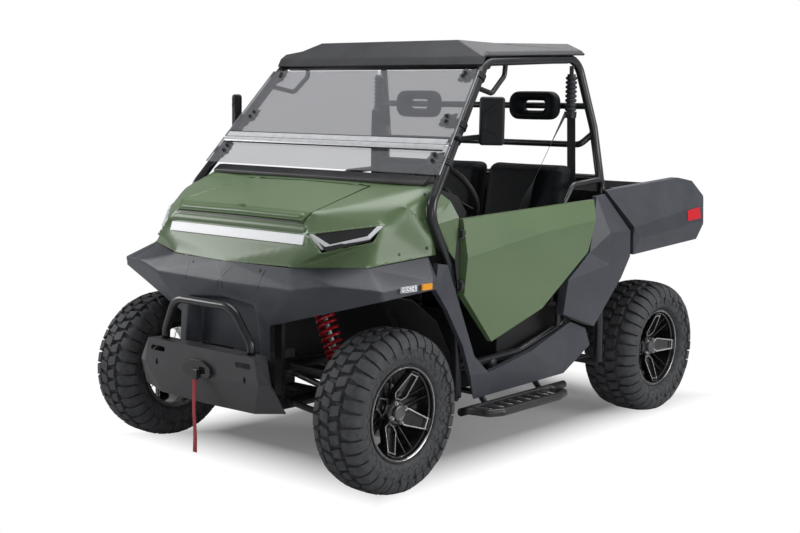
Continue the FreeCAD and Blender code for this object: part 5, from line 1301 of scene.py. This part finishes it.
def cushion(name, part, edge, swell):
    """One foam pad from its CAD solid: edges rounded, drawn in, then blown out under its cover."""
    data = bpy.data.meshes.new(name)
    part.to_mesh(data)
    part.free()
    made = bpy.data.objects.new(name, data)
    bpy.context.scene.collection.objects.link(made)
    bevelled(made, "shoulders", edge, 4, 40)
    remesh = made.modifiers.new("remesh", "REMESH")
    remesh.mode = "VOXEL"
    remesh.voxel_size = 0.006
    inset = made.modifiers.new("inset", "DISPLACE")
    inset.strength = -swell
    inset.mid_level = 0.0
    applied(made)
    rest = [vertex.co.copy() for vertex in made.data.vertices]
    cloth = made.modifiers.new("cover", "CLOTH")
    cloth.settings.use_pressure = True
    cloth.settings.uniform_pressure_force = 4.0
    cloth.settings.effector_weights.gravity = 0.0
    cloth.settings.quality = 4
    for frame_number in range(1, 21):
        bpy.context.scene.frame_set(frame_number)
    applied(made)
    bpy.context.scene.frame_set(1)
    for vertex, start in zip(made.data.vertices, rest):
        push = vertex.co - start
        if push.length > swell:
            vertex.co = start + push.normalized() * swell
    finer = made.modifiers.new("finer", "SUBSURF")
    finer.levels = 1
    finer.render_levels = 1
    made.data.materials.append(vinyl)
    made.data.shade_smooth()
    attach(made, "chassis")
    return made


def solids_of(node):
    """The separate solids of a CAD piece, each as its own mesh in the frame."""
    whole = bmesh.new()
    whole.from_mesh(nodes[node].data)
    whole.transform(nodes[node].matrix_world)
    bmesh.ops.remove_doubles(whole, verts=whole.verts, dist=0.00005)
    bmesh.ops.dissolve_limit(whole, angle_limit=math.radians(0.5), verts=whole.verts, edges=whole.edges)
    left = set(whole.verts)
    groups = []
    while left:
        group, waiting = set(), [next(iter(left))]
        while waiting:
            vertex = waiting.pop()
            if vertex in group:
                continue
            group.add(vertex)
            waiting.extend(edge.other_vert(vertex) for edge in vertex.link_edges)
        left -= group
        groups.append({vertex.index for vertex in group})
    whole.verts.index_update()
    parts = []
    for group in groups:
        part = whole.copy()
        part.verts.ensure_lookup_table()
        gone = [vertex for vertex in part.verts if vertex.index not in group]
        bmesh.ops.delete(part, geom=gone, context="VERTS")
        parts.append(part)
    whole.free()
    return sorted(parts, key=lambda part: tuple(round(value, 3) for value in middle_of(part)))


def middle_of(part):
    """The mean place of a mesh's points."""
    places = [vertex.co for vertex in part.verts]
    return sum(places, Vector()) / len(places)


for number, pad in enumerate(solids_of("seats")):
    is_back = middle_of(pad).z > 0.85
    made = cushion(f"seat_{'back' if is_back else 'pad'}_{number}", pad, 0.05 if is_back else 0.03, 0.007)
    if number == 0:
        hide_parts("seats")


def outline_of(half_width, half_height, radius, steps=7):
    """Points round an oblong with round corners."""
    places = []
    for quarter in range(4):
        turn = quarter * math.pi / 2
        cx = (half_width - radius) * (1 if quarter in (0, 3) else -1)
        cz = (half_height - radius) * (1 if quarter in (0, 1) else -1)
        for i in range(steps):
            angle = turn + math.pi / 2 * i / (steps - 1)
            places.append((cx + math.cos(angle) * radius, cz + math.sin(angle) * radius))
    return places


rest_low, rest_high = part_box("headrests")
rest_y = (rest_low.y + rest_high.y) / 2
rest_z = (rest_low.z + rest_high.z) / 2
rest_rings = [
    (0.132, 0.062, 0.046, 0.031), (0.138, 0.068, 0.052, 0.018), (0.138, 0.068, 0.052, -0.010),
    (0.134, 0.064, 0.048, -0.022), (0.124, 0.054, 0.042, -0.030), (0.104, 0.042, 0.034, -0.031),
    (0.086, 0.034, 0.026, -0.024), (0.066, 0.027, 0.020, -0.008), (0.058, 0.023, 0.016, 0.004),
    (0.058, 0.023, 0.016, 0.031),
]
for side, hand in ((1, "left"), (-1, "right")):
    rest = bmesh.new()
    rings = []
    for half_width, half_height, radius, depth in rest_rings:
        rings.append([rest.verts.new((side * 0.362 + x, rest_y + depth, rest_z + z))
                      for x, z in outline_of(half_width, half_height, radius)])
    for a, b in zip(rings, rings[1:] + rings[:1]):
        skirt(rest, a, b)
    made = piece_of("headrest_" + hand, rest, "chassis", vinyl, ["headrests"] if side > 0 else [])
    finer = made.modifiers.new("finer", "SUBSURF")
    finer.levels = 2
    finer.render_levels = 2
    made.data.shade_smooth()

# The belts: black webbing that leaves a ribbed rubber boot below the cage's rear corner,
# turns edge on across the seat back, and has its spare length run down behind the seat.
belt_black = webbing("belt_webbing", (0.03, 0.03, 0.033, 1), (0.012, 0.012, 0.013, 1))
boot_rubber = grained("boot_rubber", (0.020, 0.0215, 0.026, 1), (0.042, 0.045, 0.053, 1), 0.36)


def ribbon(name, stations, half_width, half_depth, body, material):
    """A flat strap through (place, across) stations, turning evenly between them."""
    mesh = bmesh.new()
    rings = []
    for (start, start_across), (end, end_across) in zip(stations, stations[1:]):
        start, end = Vector(start), Vector(end)
        run = (end - start).normalized()
        last = end == Vector(stations[-1][0])
        for i in range(9 if last else 8):
            share = i / 8
            across = Vector(start_across).normalized().lerp(Vector(end_across).normalized(), share)
            across = (across - run * across.dot(run)).normalized()
            through = run.cross(across)
            place = start.lerp(end, share)
            rings.append([mesh.verts.new(place + across * (u * half_width) + through * (v * half_depth))
                          for u, v in ((-1, -0.5), (-0.9, -1), (0.9, -1), (1, -0.5),
                                       (1, 0.5), (0.9, 1), (-0.9, 1), (-1, 0.5))])
    for a, b in zip(rings, rings[1:]):
        skirt(mesh, a, b)
    mesh.faces.new(rings[0])
    mesh.faces.new(rings[-1][::-1])
    made = piece_of(name, mesh, body, material)
    smooth(made, 50)
    return made


for side, hand in ((1, "left"), (-1, "right")):
    edge_on = (side * -0.57, 0.82, -0.04)
    belt_line = [((side * 0.590, 0.334, 1.490), (side * -0.2, 0.9, 0.1)), ((side * 0.545, 0.285, 1.345), edge_on),
                 ((side * 0.500, 0.236, 1.195), edge_on), ((side * 0.465, 0.212, 1.080), (side * -0.9, -0.1, -0.3)),
                 ((side * 0.400, 0.160, 0.800), (side * -0.9, -0.1, -0.3))]
    ribbon("shoulder_belt_" + hand, belt_line, 0.023, 0.0012, "chassis", belt_black)
    ribbon("spare_belt_" + hand, [((side * 0.597, 0.374, 1.500), (1, 0, 0)), ((side * 0.600, 0.390, 1.150), (1, 0, 0))],
           0.023, 0.0012, "chassis", belt_black)
    boot = [((side * 0.597, 0.368, 1.514 + 0.0205 * i), (0, 0, 1), 0.0185) for i in range(8)]
    bands("belt_boot_ribs_" + hand, boot, 0.0088, "chassis", boot_rubber)
    swept("belt_boot_" + hand, [(side * 0.597, 0.368, z) for z in (1.478, 1.500, 1.664, 1.676)], 0.0195,
                 "chassis", boot_rubber, ["seat_belts"] if side > 0 else [])
    cuff = [(-0.021, -0.021), (0.021, -0.021), (0.021, 0.021), (-0.021, 0.021)]
    bar("belt_cuff_" + hand, (side * 0.597, 0.364, 1.474), (side * 0.597, 0.368, 1.504), Vector((1, 0, 0)),
        Vector((0, 1, 0)), cuff, "chassis", boot_rubber)
    strap = [(-0.011, -0.0016), (0.011, -0.0016), (0.011, 0.0016), (-0.011, 0.0016)]
    bar("belt_anchor_" + hand, (side * 0.597, 0.368, 1.670), (side * 0.597, 0.368, 1.7134), Vector((1, 0, 0)),
        Vector((0, 1, 0)), strap, "chassis", zinc)

# The mirrors: moulded shells on arms from the front pillars, stiffened by raised folds.
mirror_black = grained("mirror_shell", (0.004, 0.0048, 0.0068, 1), (0.010, 0.0112, 0.0142, 1), 0.34, shine=0.3)
dressed("side_mirrors", mirror_black, 0.0)
shell_across = Vector((math.cos(math.radians(38)), math.sin(math.radians(38)), 0))
shell_out = Vector((math.sin(math.radians(38)), -math.cos(math.radians(38)), 0))
shell_middle = Vector((0.773, -0.470, 1.464))
fold_lines = [[(-0.038, 0.088), (-0.044, 0.055), (-0.035, 0.034), (0.004, 0.062), (0.028, 0.080)],
              [(0.033, 0.052), (-0.0275, 0.017), (-0.0275, -0.032), (0.026, -0.060)]]
for number, fold in enumerate(fold_lines):
    for side, hand in ((1, "left"), (-1, "right")):
        line = []
        for (u, v), (nu, nv) in zip(fold, fold[1:]):
            for i in range(6):
                share = i / 6
                spot = shell_middle + shell_across * (u + (nu - u) * share) + shell_out * 0.0206
                line.append((side * spot.x, spot.y, spot.z + v + (nv - v) * share))
        swept(f"mirror_fold_{number}_{hand}", line, 0.0024, "chassis", mirror_black, sides=8)

# The doors: faceted green mouldings on black hinges. Behind and below them lie the charcoal
# quarters and sills, and the tube steps with their open treads.
hinge_places = [Vector((0.762, -0.632, height)) for height in (0.800, 1.010)]
for hand, side in (("left", 1), ("right", -1)):
    door = dressed("door_" + hand, sage, 0.005, 5.0, 3)
    door.data.materials.append(hinge_black)
    for face in door.data.polygons:
        at = door.matrix_world @ face.center
        for hinge in hinge_places:
            if (Vector((abs(at.x), at.y, at.z)) - hinge).length < 0.0225:
                face.material_index = 1
for dark_part in ("quarter_panels", "sill_panels", "bed_side_panels"):
    dressed(dark_part, charcoal, 0.004, 6.0, 3)
dressed("side_steps", frame_black, 0.0)

# The fender lamps: a white marker with a honeycomb lens, and an amber one behind it.
comb_white, comb_shader, comb_place = finish_of("honeycomb_lens", Coat_Weight=1.0, Emission_Strength=0.10)
comb = comb_place.cells(95.0, 0, feature="DISTANCE_TO_EDGE").between(0.04, 0.12)
comb.tint((0.22, 0.22, 0.24, 1), (0.80, 0.82, 0.86, 1)).into(comb_shader, "Base Color")
comb.tint((0.0, 0.0, 0.0, 1), (0.80, 0.82, 0.86, 1)).into(comb_shader, "Emission Color")
(0.18 + comb * 0.1).into(comb_shader, "Roughness")
amber_lens = glowing("amber_lens", (0.85, 0.33, 0.01), 0.12)
fender_lamps = dressed("fender_lamps", comb_white, 0.001)
fender_lamps.data.materials.append(amber_lens)
for face in fender_lamps.data.polygons:
    at = fender_lamps.matrix_world @ face.center
    if at.y > -0.94:
        face.material_index = 1

# The cargo bed: a pressed steel box with its tailgate, and red lamps on its sides.
dressed("cargo_bed", frame_black, 0.002)
dressed("tailgate", frame_black, 0.002)
lamp_red = glowing("tail_lamp_red", (0.55, 0.01, 0.02), 0.3)
dressed("tail_lamps", lamp_red, 0.001)
